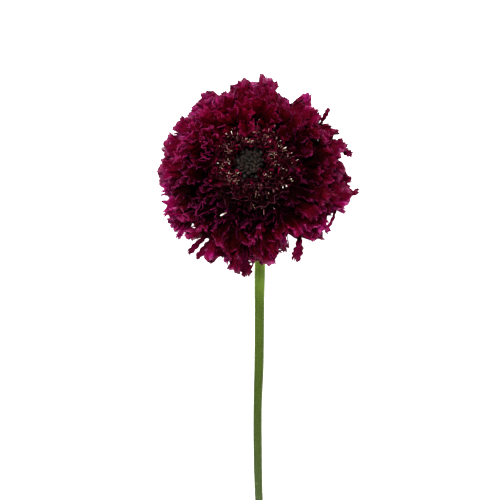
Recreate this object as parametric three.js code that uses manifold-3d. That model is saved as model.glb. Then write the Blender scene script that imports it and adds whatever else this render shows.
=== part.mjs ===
// A single cut scabiosa flower, a dark double form, lying on its back on a surface.
//
// Units are millimetres, with +Z up. The stem runs along -Y and lies on the surface z = 0. The head
// faces up and leans away from the stem, so the neck is bent over just behind it, and the head rests
// on the tips of its outermost florets. The origin is the middle of the flower's footprint.
//
// Each floret is built in the head's own frame, whose +Z is the head's axis and whose origin is the
// middle of the receptacle. Florets follow each other round the head by the golden angle, outermost
// first, and every irregularity comes from draw(), a repeatable number for each floret and use.

import * as THREE from "three";
import Module from "manifold-3d";
import { mergeVertices } from "three/addons/utils/BufferGeometryUtils.js";

const wasm = await Module();
wasm.setup();

// --- Driving dimensions ---------------------------------------------------------------------------

const DEG = Math.PI / 180;
const GOLDEN_ANGLE = 137.508 * DEG;
const GAP = 0.3; // between pieces that touch on the real flower

const HEAD_HEIGHT = 14.9; // middle of the receptacle above the surface
const HEAD_LEAN_BACK = 18 * DEG; // of the head's axis from upright, away from the stem
const HEAD_LEAN_SIDE = 6.5 * DEG; // and to the left
const LOWEST_BLADE = 0.6; // height of a blade's upper face where it lies on the surface
const SETTLE = 0.3; // how gradually a blade bends to lie there
const PRESS = 0.12; // how far soft tissue is flattened against the surface

const BLADE = 0.8; // thickness of a petal blade along its own up direction
// Behind the florets of a node is a core, a stretch of a thick ball's shell that their tubes fill.
const CORE_INSIDE = 6.2; // radius of the hollow that the receptacle fills
const INNER_CORE_RADIUS = 10;
const OUTER_CORE_RADIUS = 14.4;
const CORE_DEPTH = 1.5; // how far a floret's foot is sunk into the core
const CORE_STEPS = 3;
const CORE_SEGMENTS = 18;

// Outer florets: the value for the outermost floret, then for the innermost one.
const OUTER_COUNT = 33;
const OUTER_MOUTH_ANGLE = [106 * DEG, 66 * DEG]; // from the head's axis to the floret's mouth
const OUTER_MOUTH_DISTANCE = [14.6, 16.6]; // from the middle of the head
const OUTER_BLADE_ANGLE = [99 * DEG, 62 * DEG]; // from the head's axis to the way the blade points
const OUTER_BLADE_LENGTH = [19.5, 10.8];
const LEVEL_OUT = 17 * DEG; // the outermost blades are bent level again, against the head's lean back
const OPEN_SIDE = 273 * DEG; // the turn at which the innermost of them lie furthest open
const LAY_OPEN = 26 * DEG;
const RIM_SHARE = 0.34; // the outermost florets, which make the bloom's edge
const LOBE_STRETCH = [0.6, 1.6]; // how far a lobe of theirs may be shortened or lengthened to reach it
const OUTER_CORE_ANGLE = [57 * DEG, 117 * DEG];
const OUTER_STALK_RADIUS = 1.6;
// How far one floret may differ from the rule, either way.
const OUTER_VARIATION = {
  mouthAngle: 3 * DEG,
  bladeAngle: 4 * DEG,
  bladeTurn: 7 * DEG,
  roll: 5 * DEG,
  length: 0.1,
  lobe: 0.14,
};

// The bloom's edge seen from above is a circle less a bell-shaped dip at each of these directions. at
// and halfWidth are in degrees, depth is in millimetres, and a swell has a negative depth.
const BLOOM_RADIUS = 31.7;
const EDGE_PLAY = 1; // how far a floret may pass that edge or fall short of it
const EDGE_DIPS = [
  { at: 10, halfWidth: 6, depth: 3.8 },
  { at: 37, halfWidth: 5, depth: 4 },
  { at: 62, halfWidth: 3.5, depth: 7 },
  { at: 70, halfWidth: 6, depth: 3 },
  { at: 84, halfWidth: 6, depth: -2.6 },
  { at: 112, halfWidth: 4, depth: 3.4 },
  { at: 144, halfWidth: 3, depth: 1.5 },
  { at: 165, halfWidth: 4, depth: -1.6 },
  { at: 209, halfWidth: 5, depth: -1.8 },
  { at: 232, halfWidth: 6.5, depth: 7 },
  { at: 249, halfWidth: 3, depth: 2.5 },
  { at: 262, halfWidth: 4, depth: -1.6 },
  { at: 272, halfWidth: 4, depth: 3.5 },
  { at: 289.5, halfWidth: 4, depth: 4.5 },
  { at: 298, halfWidth: 5, depth: 4 },
  { at: 307, halfWidth: 4, depth: 7.5 },
  { at: 348, halfWidth: 5, depth: -1.2 },
];
// Narrow lobes that stand clear of that edge: the direction in degrees and the distance where each
// leaves the rest, the same of its tip, and its width.
const LOOSE_LOBES = [
  { leaves: [35.8, 28.2], tip: [41.8, 33.1], width: 1.2 },
  { leaves: [18, 29.4], tip: [10.6, 32.8], width: 1.8 },
  { leaves: [306.2, 25], tip: [295, 31.8], width: 3.8 },
  { leaves: [231.4, 25], tip: [229.4, 33.4], width: 1.6 },
  { leaves: [236.5, 25], tip: [234.9, 32], width: 1.6 },
];
const LOOSE_FOOT = 11.5; // distance of a loose lobe's foot from the head's middle
const LOOSE_DROP = 3.2; // of a loose lobe behind the middle of the head
const CLAW_WIDTH = 0.9; // of the stretch before a loose lobe widens

const LOBE_STEP = [31 * DEG, 42 * DEG]; // between the middles of two neighbouring lobes
const LOBE_LENGTH = [0.56, 0.9, 1, 0.9, 0.56]; // of the five lobes, as a share of the blade's length
const NOTCH_DEPTH = 0.48; // of the cut between two lobes, as a share of the lobe's length
const NOTCH_NARROWNESS = 4;
const TOOTH_DEPTH = 1;
// The shape of a blade in height: its side lobes lift, its edge droops, it arches between its mouth
// and its edge, its lobes tilt up or down by chance, and pleats run out along it.
const SIDE_LIFT = 0.2; // as a share of the blade's length
const DROOP = [3.6, 0.4];
const ARCH = 1.3;
const LOBE_TILT = 1.4;
const PLEAT = 0.8;
const MIDDLE_ROW = 0.55; // where the row of points between mouth and edge lies
// The edge of one lobe: a place across it, from -0.5 to 0.5, and a share of the tooth depth.
const BIG_LOBE_EDGE = [
  [-0.37, 0.4],
  [0, -0.4],
  [0.37, 0.4],
  [0.5, 0],
];
const SMALL_LOBE_EDGE = [
  [0, 0.3],
  [0.5, 0],
];

const INNER_COUNT = 26;
const INNER_MOUTH_ANGLE = [60 * DEG, 33 * DEG];
const INNER_MOUTH_DISTANCE = [15.2, 13.4];
const INNER_LIMB_RADIUS = [4.3, 2.5];
const INNER_RIM = 0.7; // thickness of a floret's rim
const INNER_DISH = 1; // depth of its throat below the rim
const INNER_NOTCH = 0.62; // reach between two lobes, as a share of the limb's radius
const INNER_TIP_LIFT = [0.1, 1.7];
const INNER_FIRST_TURN = 40 * DEG;
const INNER_CORE_ANGLE = 63 * DEG;
const INNER_ZONE_ANGLE = 60 * DEG; // the inner florets keep to a cone about the axis
const INNER_ZONE_RADIUS = 16.6; // with a straight wall above it
const ZONE_TOP = 40;
const INNER_LOBES = 5;
const PIN_LENGTH = [3.6, 2.8]; // how far a style stands out of its floret
const PIN_RADIUS = 0.36;
const PIN_HEAD_RADIUS = 0.62;
const PIN_LEAN = 0.8;

const BUD_COUNT = 30;
const BUD_ZONE_ANGLE = 28 * DEG;
const BUD_RADIUS = 1.25;
const BUD_STRETCH = 1.3; // a bud's height over its width
const BUD_TOP = 13.6; // from the middle of the head to the top of a bud in the middle
const BUD_CORE_TOP = 11.6;

const BRACT_COUNT = 11;
const BRACT_LENGTH = 12.5;
const BRACT_WIDTH = 3;
const BRACT_ROOT_ANGLE = 124 * DEG;
const BRACT_BLADE_ANGLE = 112 * DEG;
const BRACT_DROOP = 2.2;
const BRACT_KEEL = 0.35; // how far the middle of a bract stands above its edges
const COLLAR_RADIUS = 8.4;
const COLLAR_ANGLE = [119 * DEG, 146 * DEG];

const RECEPTACLE_RADIUS = CORE_INSIDE - GAP;
const STEM_SIDES = 10;
const NECK_RADIUS = 1.9; // of the stem inside the receptacle
const NECK_STEPS = 10;
const RUN_STEPS = 15;
// Stem: points of its centre line seen from above, and its radius there, from the neck to the cut end.
const STEM_RUN = [
  { x: 2.1, y: -25, radius: 1.72 },
  { x: 1.9, y: -36, radius: 1.68 },
  { x: 1.8, y: -52, radius: 1.6 },
  { x: 1.65, y: -64, radius: 1.54 },
  { x: 1.25, y: -76, radius: 1.46 },
  { x: 1.25, y: -90, radius: 1.4 },
  { x: 1.55, y: -104, radius: 1.36 },
  { x: 2.6, y: -122, radius: 1.34 },
  { x: 4.2, y: -144, radius: 1.34 },
  { x: 6.4, y: -170, radius: 1.38 },
];
const CUT_SLANT = 35 * DEG; // of the knife cut at the stem's end

// --- Small tools ----------------------------------------------------------------------------------

// A repeatable number from 0 to 1 for the item and the use it is put to.
function draw(item, use) {
  const wave = Math.sin(item * 12.9898 + use * 78.233 + 4.1) * 43758.5453;
  return wave - Math.floor(wave);
}

const spreadAround = (item, use) => 2 * draw(item, use) - 1;
const mix = ([from, to], share) => from + (to - from) * share;
const within = (value, [least, most]) => Math.min(most, Math.max(least, value));
const smooth = (value) => within(value, [0, 1]) ** 2 * (3 - 2 * within(value, [0, 1]));

// A closed geometry as a manifold-3d solid.
function solidOf(geometry) {
  const bare = new THREE.BufferGeometry();
  bare.setAttribute("position", geometry.getAttribute("position"));
  if (geometry.index) bare.setIndex(geometry.index);
  const merged = mergeVertices(bare, 1e-4);
  return new wasm.Manifold(
    new wasm.Mesh({
      numProp: 3,
      vertProperties: new Float32Array(merged.attributes.position.array),
      triVerts: new Uint32Array(merged.index.array),
    }),
  );
}

// The largest body of a solid as a geometry. Loose scraps go, and sealed hollows are filled.
function geometryOf(solid) {
  const bodies = solid.decompose();
  const body = bodies.reduce((best, next) => (next.volume() > best.volume() ? next : best));
  const mesh = body.getMesh();
  const positions = new Float32Array(mesh.numVert * 3);
  for (let i = 0; i < mesh.numVert; i++) {
    positions.set(mesh.vertProperties.subarray(i * mesh.numProp, i * mesh.numProp + 3), i * 3);
  }
  const geometry = new THREE.BufferGeometry();
  geometry.setAttribute("position", new THREE.BufferAttribute(positions, 3));
  geometry.setIndex(new THREE.BufferAttribute(new Uint32Array(mesh.triVerts), 1));
  geometry.computeVertexNormals();
  return geometry;
}

const joined = (solids) => wasm.Manifold.union(solids);

// A solid of revolution about +Z from [radius, height] pairs that run round it anticlockwise.
function turned(outline, segments) {
  const points = outline.map(([radius, height]) => new THREE.Vector2(radius, height));
  const geometry = new THREE.LatheGeometry(points, segments);
  geometry.rotateX(Math.PI / 2); // a lathe turns about +Y
  return solidOf(geometry);
}

// [radius, height] at a distance from the head's middle and an angle from its axis.
const onMeridian = (distance, angle) => [distance * Math.sin(angle), distance * Math.cos(angle)];

// A stretch of a ball's shell about the head's middle, as a solid of revolution.
function shell(inside, outside, [fromAngle, toAngle]) {
  const outline = [];
  for (let i = 0; i <= CORE_STEPS; i++) {
    outline.push(onMeridian(outside, mix([toAngle, fromAngle], i / CORE_STEPS)));
  }
  for (let i = 0; i <= CORE_STEPS; i++) {
    outline.push(onMeridian(inside, mix([fromAngle, toAngle], i / CORE_STEPS)));
  }
  outline.push(outline[0]);
  return turned(outline, CORE_SEGMENTS);
}

// The unit vector at an angle from the head's axis and a turn about it.
function direction(angle, turn) {
  return new THREE.Vector3(
    Math.sin(angle) * Math.cos(turn),
    Math.sin(angle) * Math.sin(turn),
    Math.cos(angle),
  );
}

// A straight three-sided stick from one point to another.
function stick(from, to, fromRadius, toRadius) {
  const length = from.distanceTo(to);
  const geometry = new THREE.CylinderGeometry(toRadius, fromRadius, length, 3);
  const along = to.clone().sub(from).normalize();
  geometry.applyQuaternion(
    new THREE.Quaternion().setFromUnitVectors(new THREE.Vector3(0, 1, 0), along),
  );
  const middle = from.clone().lerp(to, 0.5);
  geometry.translate(middle.x, middle.y, middle.z);
  return solidOf(geometry);
}

// Triangles between two rows of points, each given as [index, place along the row].
function stitched(near, far) {
  const triangles = [];
  let i = 0;
  let j = 0;
  while (i < near.length - 1 || j < far.length - 1) {
    const nearNext = i < near.length - 1 ? near[i + 1][1] + near[i][1] : Infinity;
    const farNext = j < far.length - 1 ? far[j + 1][1] + far[j][1] : Infinity;
    if (nearNext < farNext) {
      triangles.push([near[i][0], far[j][0], near[i + 1][0]]);
      i++;
    } else {
      triangles.push([near[i][0], far[j][0], far[j + 1][0]]);
      j++;
    }
  }
  return triangles;
}

// A solid from its corners and the triangles between them.
function closed(points, faces) {
  const positions = points.flatMap((p) => [p.x, p.y, p.z]);
  const geometry = new THREE.BufferGeometry();
  geometry.setAttribute("position", new THREE.Float32BufferAttribute(positions, 3));
  geometry.setIndex(faces);
  return solidOf(geometry);
}

// A blade: its upper face from points and triangles that turn anticlockwise seen from above, and the
// same face again below it, with a wall round the edge.
function blade(points, triangles, edge, up) {
  const count = points.length;
  const below = points.map((p) => p.clone().addScaledVector(up, -BLADE));
  const faces = triangles.flatMap(([a, b, c]) => [a, b, c, c + count, b + count, a + count]);
  edge.forEach((a, k) => {
    const b = edge[(k + 1) % edge.length];
    faces.push(a, a + count, b, b, a + count, b + count);
  });
  return closed([...points, ...below], faces);
}

// --- How the head lies ----------------------------------------------------------------------------

const head = new THREE.Group();
head.position.set(0, 0, HEAD_HEIGHT);
head.rotation.set(-HEAD_LEAN_BACK, -HEAD_LEAN_SIDE, 0, "XYZ");
head.updateMatrix();
const fromHead = head.matrix;
const toHead = fromHead.clone().invert();

// A point of a blade in the head's frame, drawn in to a distance from the head's middle seen from
// above, and lifted to where it lies on the surface if it would be lower.
function settled(point, furthest = Infinity) {
  const placed = point.clone().applyMatrix4(fromHead);
  const drawnIn = Math.min(1, furthest / Math.hypot(placed.x, placed.y));
  placed.x *= drawnIn;
  placed.y *= drawnIn;
  placed.z = LOWEST_BLADE + SETTLE * Math.log1p(Math.exp((placed.z - LOWEST_BLADE) / SETTLE));
  return placed.applyMatrix4(toHead);
}

// --- Outer florets --------------------------------------------------------------------------------

// Where floret i of the outer florets sits, and the directions of its blade. share runs from 0 for
// the outermost floret to 1 for the innermost.
function outerFloret(i) {
  const share = i / (OUTER_COUNT - 1);
  const turn = i * GOLDEN_ANGLE;
  const mouthAngle = mix(OUTER_MOUTH_ANGLE, share) + OUTER_VARIATION.mouthAngle * spreadAround(i, 1);
  // The levelling fades out from the first third of the florets inwards. The opening fades in over the
  // inner three quarters of them, and over 60 degrees of turn either side of the open side.
  const levelled = Math.sin(turn) * (1 - smooth(1.5 * share - 0.5));
  const opened = smooth(1.8 * Math.cos(turn - OPEN_SIDE) - 0.8) * smooth(1.6 * share - 0.4);
  const bladeAngle =
    mix(OUTER_BLADE_ANGLE, share) +
    OUTER_VARIATION.bladeAngle * spreadAround(i, 2) -
    LEVEL_OUT * levelled +
    LAY_OPEN * opened;
  const bladeTurn = turn + OUTER_VARIATION.bladeTurn * spreadAround(i, 3);
  const root = direction(mouthAngle, turn);
  const forward = direction(bladeAngle, bladeTurn);
  const side = new THREE.Vector3(-Math.sin(bladeTurn), Math.cos(bladeTurn), 0);
  side.applyAxisAngle(forward, OUTER_VARIATION.roll * spreadAround(i, 4));
  const floret = {
    share,
    root,
    mouth: root.clone().multiplyScalar(mix(OUTER_MOUTH_DISTANCE, share)),
    forward,
    side,
    up: new THREE.Vector3().crossVectors(forward, side),
    length: mix(OUTER_BLADE_LENGTH, share) * (1 + OUTER_VARIATION.length * spreadAround(i, 5)),
    step: mix(LOBE_STEP, share),
  };
  floret.lobes = LOBE_LENGTH.map((lobe, k) =>
    stretched(floret, k - 2, lobe * (1 + OUTER_VARIATION.lobe * spreadAround(i, 18 + k))),
  );
  return floret;
}

// Radius of the bloom's edge seen from above, in the direction of a point.
function bloomEdge(x, y) {
  const bearing = Math.atan2(y, x) / DEG;
  const dips = EDGE_DIPS.map(({ at, halfWidth, depth }) => {
    const away = ((bearing - at + 540) % 360) - 180;
    return depth * Math.exp(-((away / halfWidth) ** 2));
  });
  return BLOOM_RADIUS - dips.reduce((sum, dip) => sum + dip, 0);
}

// The length of a lobe, as a share of its blade's, that brings its tip to the bloom's edge.
function stretched(floret, lobe, share) {
  if (floret.share > RIM_SHARE) return share;
  const base = floret.mouth.clone().applyMatrix4(fromHead);
  const tip = floret.mouth
    .clone()
    .addScaledVector(floret.forward, floret.length * share * Math.cos(lobe * floret.step))
    .addScaledVector(floret.side, floret.length * share * Math.sin(lobe * floret.step))
    .applyMatrix4(fromHead);
  let stretch = 1;
  for (let round = 0; round < 4; round++) {
    const at = base.clone().lerp(tip, stretch);
    stretch *= 1 + (bloomEdge(at.x, at.y) - Math.hypot(at.x, at.y)) / floret.length / share;
  }
  return share * within(stretch, LOBE_STRETCH);
}

// A value that belongs to each of the five lobes, blended between the two lobes next to a place.
// place is 0 in the middle lobe and 2 in the last one.
function lobeValue(place, valueOf) {
  const first = Math.floor(place);
  const blend = smooth(place - first);
  const kept = (lobe) => valueOf(within(lobe, [-2, 2]));
  return kept(first) * (1 - blend) + kept(first + 1) * blend;
}

// How far a floret's blade reaches at a place across its lobes, before its teeth.
function bladeReach(floret, place) {
  const lobe = lobeValue(place, (k) => floret.lobes[k + 2]);
  const notch = 1 - NOTCH_DEPTH * (1 - Math.abs(Math.cos(Math.PI * place))) ** NOTCH_NARROWNESS;
  return floret.length * lobe * notch;
}

// Height of the blade above its own plane. out runs from 0 at the mouth to 1 at the edge.
function bladeHeight(i, floret, place, out) {
  const angle = place * floret.step;
  const lift = SIDE_LIFT * floret.length * (1 - Math.cos(angle)) * out;
  const droop = mix(DROOP, floret.share) * out * out;
  const arch = ARCH * Math.sin(Math.PI * out);
  const lobeTilt = LOBE_TILT * lobeValue(place, (k) => spreadAround(i, 30 + k)) * out ** 1.4;
  const pleat = PLEAT * Math.cos(2 * Math.PI * place + 3 * draw(i, 6)) * out ** 1.6;
  return lift - droop + arch + lobeTilt + pleat;
}

function bladePoint(i, floret, place, out, tooth) {
  const reach = (bladeReach(floret, place) + tooth) * out;
  const angle = place * floret.step;
  const point = floret.mouth
    .clone()
    .addScaledVector(floret.forward, reach * Math.cos(angle))
    .addScaledVector(floret.side, reach * Math.sin(angle))
    .addScaledVector(floret.up, bladeHeight(i, floret, place, out));
  const above = point.clone().applyMatrix4(fromHead);
  return settled(point, bloomEdge(above.x, above.y) + tooth + EDGE_PLAY * spreadAround(i, 111));
}

// The toothed edge of the whole blade as [place, tooth depth] pairs.
function toothedEdge() {
  const edge = [[-2.5, 0]];
  for (let lobe = -2; lobe <= 2; lobe++) {
    const shape = Math.abs(lobe) === 2 ? SMALL_LOBE_EDGE : BIG_LOBE_EDGE;
    for (const [place, tooth] of shape) edge.push([lobe + place, tooth * TOOTH_DEPTH]);
  }
  return edge;
}

function outerFloretSolid(i) {
  const floret = outerFloret(i);
  const points = [bladePoint(i, floret, 0, 0, 0)];
  const middle = [];
  for (let place = -2.5; place <= 2.5; place += 1) {
    middle.push([points.length, place]);
    points.push(bladePoint(i, floret, place, MIDDLE_ROW, 0));
  }
  const rim = [];
  for (const [place, tooth] of toothedEdge()) {
    rim.push([points.length, place]);
    points.push(bladePoint(i, floret, place, 1, tooth));
  }
  const triangles = [...stitched([[0, 0]], middle), ...stitched(middle, rim)];
  const edge = [0, middle[0][0], ...rim.map(([p]) => p), middle[middle.length - 1][0]];
  const stalkFoot = floret.root.clone().multiplyScalar(OUTER_CORE_RADIUS - CORE_DEPTH);
  const stalkTop = floret.mouth.clone().addScaledVector(floret.root, 0.5);
  return [
    blade(points, triangles, edge, floret.up),
    stick(stalkFoot, stalkTop, OUTER_STALK_RADIUS, OUTER_STALK_RADIUS),
  ];
}

// The space that belongs to the inner florets: a cone that widens to a straight wall, drawn in on all
// sides by the inset.
function innerZone(inset) {
  const foot = inset / Math.sin(INNER_ZONE_ANGLE);
  const wall = INNER_ZONE_RADIUS - inset;
  const shoulder = foot + wall / Math.tan(INNER_ZONE_ANGLE);
  return turned([[0, foot], [wall, shoulder], [wall, ZONE_TOP], [0, ZONE_TOP]], 20);
}

// A narrow lobe on its own claw: it runs out from the core, behind the middle of the head, leaves the
// rest and turns to its tip, and is widest two thirds of the way there.
function looseLobeSolid({ leaves, tip, width }) {
  const axis = new THREE.Vector3(0, 0, 1);
  const up = axis.clone().transformDirection(fromHead);
  const spot = ([bearing, distance]) => {
    const x = distance * Math.cos(bearing * DEG);
    const y = distance * Math.sin(bearing * DEG);
    const z = HEAD_HEIGHT - (LOOSE_DROP + x * up.x + y * up.y) / up.z;
    return new THREE.Vector3(x, y, z).applyMatrix4(toHead);
  };
  const line = [spot([leaves[0], LOOSE_FOOT]), spot(leaves), spot(tip)];
  const wide = line[1].clone().lerp(line[2], 2 / 3);
  const sides = [line[1].clone().sub(line[0]), line[2].clone().sub(line[1])].map((along) =>
    new THREE.Vector3().crossVectors(axis, along).normalize(),
  );
  const points = [
    [line[0], sides[0], CLAW_WIDTH],
    [line[1], sides[0], CLAW_WIDTH],
    [wide, sides[1], width],
  ].flatMap(([at, side, across]) => [
    settled(at.clone().addScaledVector(side, -across / 2)),
    settled(at.clone().addScaledVector(side, across / 2)),
  ]);
  points.push(settled(line[2]));
  const triangles = [
    [0, 3, 1],
    [0, 2, 3],
    [2, 5, 3],
    [2, 4, 5],
    [4, 6, 5],
  ];
  return blade(points, triangles, [0, 2, 4, 6, 5, 3, 1], axis);
}

function outerFlorets() {
  const core = shell(CORE_INSIDE, OUTER_CORE_RADIUS, OUTER_CORE_ANGLE);
  const florets = Array.from({ length: OUTER_COUNT }, (_, i) => outerFloretSolid(i)).flat();
  const loose = LOOSE_LOBES.map(looseLobeSolid);
  return joined([core, ...florets, ...loose]).subtract(innerZone(0));
}

// --- Inner florets --------------------------------------------------------------------------------

// A small open floret: a funnel with a dished, five-lobed top. Every second floret has a style that
// stands out of it.
function innerFloretSolid(i) {
  const share = i / (INNER_COUNT - 1);
  const turn = i * GOLDEN_ANGLE + INNER_FIRST_TURN;
  const angle = Math.acos(mix(INNER_MOUTH_ANGLE.map(Math.cos), share));
  const up = direction(angle + 2 * DEG * spreadAround(i, 41), turn);
  const east = new THREE.Vector3(-Math.sin(turn), Math.cos(turn), 0);
  const north = new THREE.Vector3().crossVectors(up, east);
  const distance = mix(INNER_MOUTH_DISTANCE, share) + 0.8 * spreadAround(i, 42);
  const mouth = up.clone().multiplyScalar(distance);
  const radius = mix(INNER_LIMB_RADIUS, share) * (1 + 0.12 * spreadAround(i, 43));
  const at = (eastward, northward, upward) =>
    mouth
      .clone()
      .addScaledVector(east, eastward)
      .addScaledVector(north, northward)
      .addScaledVector(up, upward);
  const rim = Array.from({ length: 2 * INNER_LOBES }, (_, k) => {
    const isTip = k % 2 === 0;
    const reach = radius * (isTip ? 1 + 0.15 * spreadAround(i, 44 + k) : INNER_NOTCH);
    const lift = isTip ? mix(INNER_TIP_LIFT, draw(i, 60 + k)) : 0;
    const swing = (k * Math.PI) / INNER_LOBES + 6 * draw(i, 45);
    return [reach * Math.cos(swing), reach * Math.sin(swing), lift];
  });
  const points = [
    at(0, 0, -INNER_DISH),
    at(0, 0, INNER_CORE_RADIUS - CORE_DEPTH - mouth.length()),
    ...rim.map(([x, y, z]) => at(x, y, z)),
    ...rim.map(([x, y, z]) => at(x, y, z - INNER_RIM)),
  ];
  const faces = rim.flatMap((_, k) => {
    const next = (k + 1) % rim.length;
    const [a, b, c, d] = [2 + k, 2 + next, 2 + rim.length + k, 2 + rim.length + next];
    return [0, a, b, a, c, b, b, c, d, 1, d, c];
  });
  const funnel = closed(points, faces);
  if (i % 2 === 0) return [funnel];
  const pinTop = at(
    PIN_LEAN * spreadAround(i, 46),
    PIN_LEAN * spreadAround(i, 47),
    mix(PIN_LENGTH, share),
  );
  return [funnel, stick(at(0, 0, -2 * INNER_DISH), pinTop, PIN_RADIUS, PIN_HEAD_RADIUS)];
}

function innerFlorets() {
  const core = shell(CORE_INSIDE, INNER_CORE_RADIUS, [BUD_ZONE_ANGLE, INNER_CORE_ANGLE]);
  const florets = Array.from({ length: INNER_COUNT }, (_, i) => innerFloretSolid(i)).flat();
  return joined([core, ...florets]).intersect(innerZone(GAP)).subtract(budZone(GAP));
}

// --- Centre buds ----------------------------------------------------------------------------------

// The cone-shaped space that belongs to the buds, about the head's axis, widened at its top.
function budZone(grow) {
  const [wall, top] = onMeridian(22, BUD_ZONE_ANGLE);
  return turned([[0, 1], [wall + grow, top], [0, top]], 24);
}

function centreBuds() {
  const angle = BUD_ZONE_ANGLE - 1 * DEG;
  const core = turned(
    [
      [0, CORE_INSIDE],
      onMeridian(CORE_INSIDE, angle),
      onMeridian(BUD_CORE_TOP - 0.6, angle),
      [0, BUD_CORE_TOP],
    ],
    CORE_SEGMENTS,
  );
  const buds = Array.from({ length: BUD_COUNT }, (_, i) => {
    const spot = Math.sqrt((i + 0.5) / BUD_COUNT) * (BUD_ZONE_ANGLE - 4.5 * DEG);
    const up = direction(spot, i * GOLDEN_ANGLE);
    const height = BUD_TOP - 0.5 * (spot / BUD_ZONE_ANGLE) + 0.3 * spreadAround(i, 71);
    const geometry = new THREE.SphereGeometry(BUD_RADIUS, 6, 3);
    geometry.rotateX(Math.PI / 2);
    geometry.scale(1, 1, BUD_STRETCH);
    geometry.applyQuaternion(
      new THREE.Quaternion().setFromUnitVectors(new THREE.Vector3(0, 0, 1), up),
    );
    const middle = up.multiplyScalar(height - BUD_STRETCH * BUD_RADIUS);
    geometry.translate(middle.x, middle.y, middle.z);
    return solidOf(geometry);
  });
  return joined([core, ...buds]).intersect(budZone(0));
}

// --- Bracts ---------------------------------------------------------------------------------------

// The whorl of narrow pointed bracts behind the head, on a collar round the neck.
function bracts() {
  const collar = shell(CORE_INSIDE, COLLAR_RADIUS, COLLAR_ANGLE);
  const blades = Array.from({ length: BRACT_COUNT }, (_, i) => {
    const turn = (i * 2 * Math.PI) / BRACT_COUNT + 0.15 * spreadAround(i, 81);
    const angle = BRACT_BLADE_ANGLE + 5 * DEG * spreadAround(i, 82);
    const forward = direction(angle, turn);
    const side = new THREE.Vector3(-Math.sin(turn), Math.cos(turn), 0);
    const up = new THREE.Vector3().crossVectors(forward, side);
    const foot = direction(BRACT_ROOT_ANGLE, turn).multiplyScalar(COLLAR_RADIUS - CORE_DEPTH);
    const length = BRACT_LENGTH * (1 + 0.12 * spreadAround(i, 83));
    const at = (out, across) =>
      settled(
        foot
          .clone()
          .addScaledVector(forward, out * length)
          .addScaledVector(side, (across * BRACT_WIDTH) / 2)
          .addScaledVector(up, -BRACT_DROOP * out * out - BRACT_KEEL * Math.abs(across)),
      );
    const points = [
      at(0, -0.8),
      at(0, 0.8),
      at(0.4, -1),
      at(0.4, 0),
      at(0.4, 1),
      at(0.75, -0.6),
      at(0.75, 0.6),
      at(1, 0),
    ];
    const triangles = [
      [0, 3, 1],
      [0, 2, 3],
      [1, 3, 4],
      [2, 5, 3],
      [3, 5, 6],
      [3, 6, 4],
      [5, 7, 6],
    ];
    return blade(points, triangles, [0, 2, 5, 7, 6, 4, 1], up);
  });
  return joined([collar, ...blades]);
}

// --- Stem -----------------------------------------------------------------------------------------

// The stem's centre line and radius at every ring, from inside the receptacle to the cut end.
function stemRings() {
  const inHead = (z) => new THREE.Vector3(0, 0, z).applyMatrix4(fromHead);
  const first = STEM_RUN[0];
  const landed = new THREE.Vector3(first.x, first.y, first.radius - PRESS);
  const neck = new THREE.CubicBezierCurve3(
    inHead(-3),
    inHead(-15),
    landed.clone().add(new THREE.Vector3(-0.1, 11, 0)),
    landed,
  );
  const rings = [];
  for (let k = 0; k < NECK_STEPS; k++) {
    const share = k / NECK_STEPS;
    rings.push({ at: neck.getPoint(share), radius: mix([NECK_RADIUS, first.radius], share) });
  }
  const run = new THREE.CatmullRomCurve3(
    STEM_RUN.map(({ x, y, radius }) => new THREE.Vector3(x, y, radius)),
  );
  for (let k = 0; k <= RUN_STEPS; k++) {
    const { x, y, z: radius } = run.getPoint(k / RUN_STEPS);
    rings.push({ at: new THREE.Vector3(x, y, radius - PRESS), radius });
  }
  return rings;
}

// A tube of round rings that stay square to the line through them, closed at both ends.
function tube(rings) {
  const points = [];
  const faces = [];
  const sideways = new THREE.Vector3(1, 0, 0);
  rings.forEach(({ at, radius }, k) => {
    const before = rings[Math.max(0, k - 1)].at;
    const after = rings[Math.min(rings.length - 1, k + 1)].at;
    const along = after.clone().sub(before).normalize();
    const across = sideways.clone().addScaledVector(along, -sideways.dot(along)).normalize();
    const over = new THREE.Vector3().crossVectors(across, along);
    for (let s = 0; s < STEM_SIDES; s++) {
      const turn = ((s + 0.5) * 2 * Math.PI) / STEM_SIDES;
      points.push(
        at
          .clone()
          .addScaledVector(across, radius * Math.cos(turn))
          .addScaledVector(over, radius * Math.sin(turn)),
      );
    }
  });
  for (let k = 0; k < rings.length - 1; k++) {
    for (let s = 0; s < STEM_SIDES; s++) {
      const a = k * STEM_SIDES + s;
      const b = k * STEM_SIDES + ((s + 1) % STEM_SIDES);
      faces.push(a, a + STEM_SIDES, b, b, a + STEM_SIDES, b + STEM_SIDES);
    }
  }
  const last = (rings.length - 1) * STEM_SIDES;
  for (let s = 1; s < STEM_SIDES - 1; s++) {
    faces.push(0, s, s + 1, last, last + s + 1, last + s);
  }
  return closed(points, faces);
}

function stem() {
  const receptacle = new THREE.SphereGeometry(RECEPTACLE_RADIUS, 12, 8);
  receptacle.rotateX(Math.PI / 2);
  receptacle.applyMatrix4(fromHead);
  const knife = new THREE.BoxGeometry(20, 20, 20);
  knife.translate(0, -10, 0);
  knife.rotateX(-CUT_SLANT);
  const end = STEM_RUN[STEM_RUN.length - 1];
  knife.translate(end.x, end.y + 1.6, end.radius);
  return joined([solidOf(receptacle), tube(stemRings())]).subtract(solidOf(knife));
}

// --- The flower -----------------------------------------------------------------------------------

function mesh(name, solid, color, roughness) {
  const material = new THREE.MeshStandardMaterial({ color, roughness, metalness: 0 });
  const made = new THREE.Mesh(geometryOf(solid), material);
  made.name = name;
  return made;
}

const surfaceBox = new THREE.BoxGeometry(500, 500, 50);
surfaceBox.translate(0, 0, -25);
const surface = solidOf(surfaceBox);
const surfaceInHead = solidOf(surfaceBox.clone().applyMatrix4(toHead));

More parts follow.
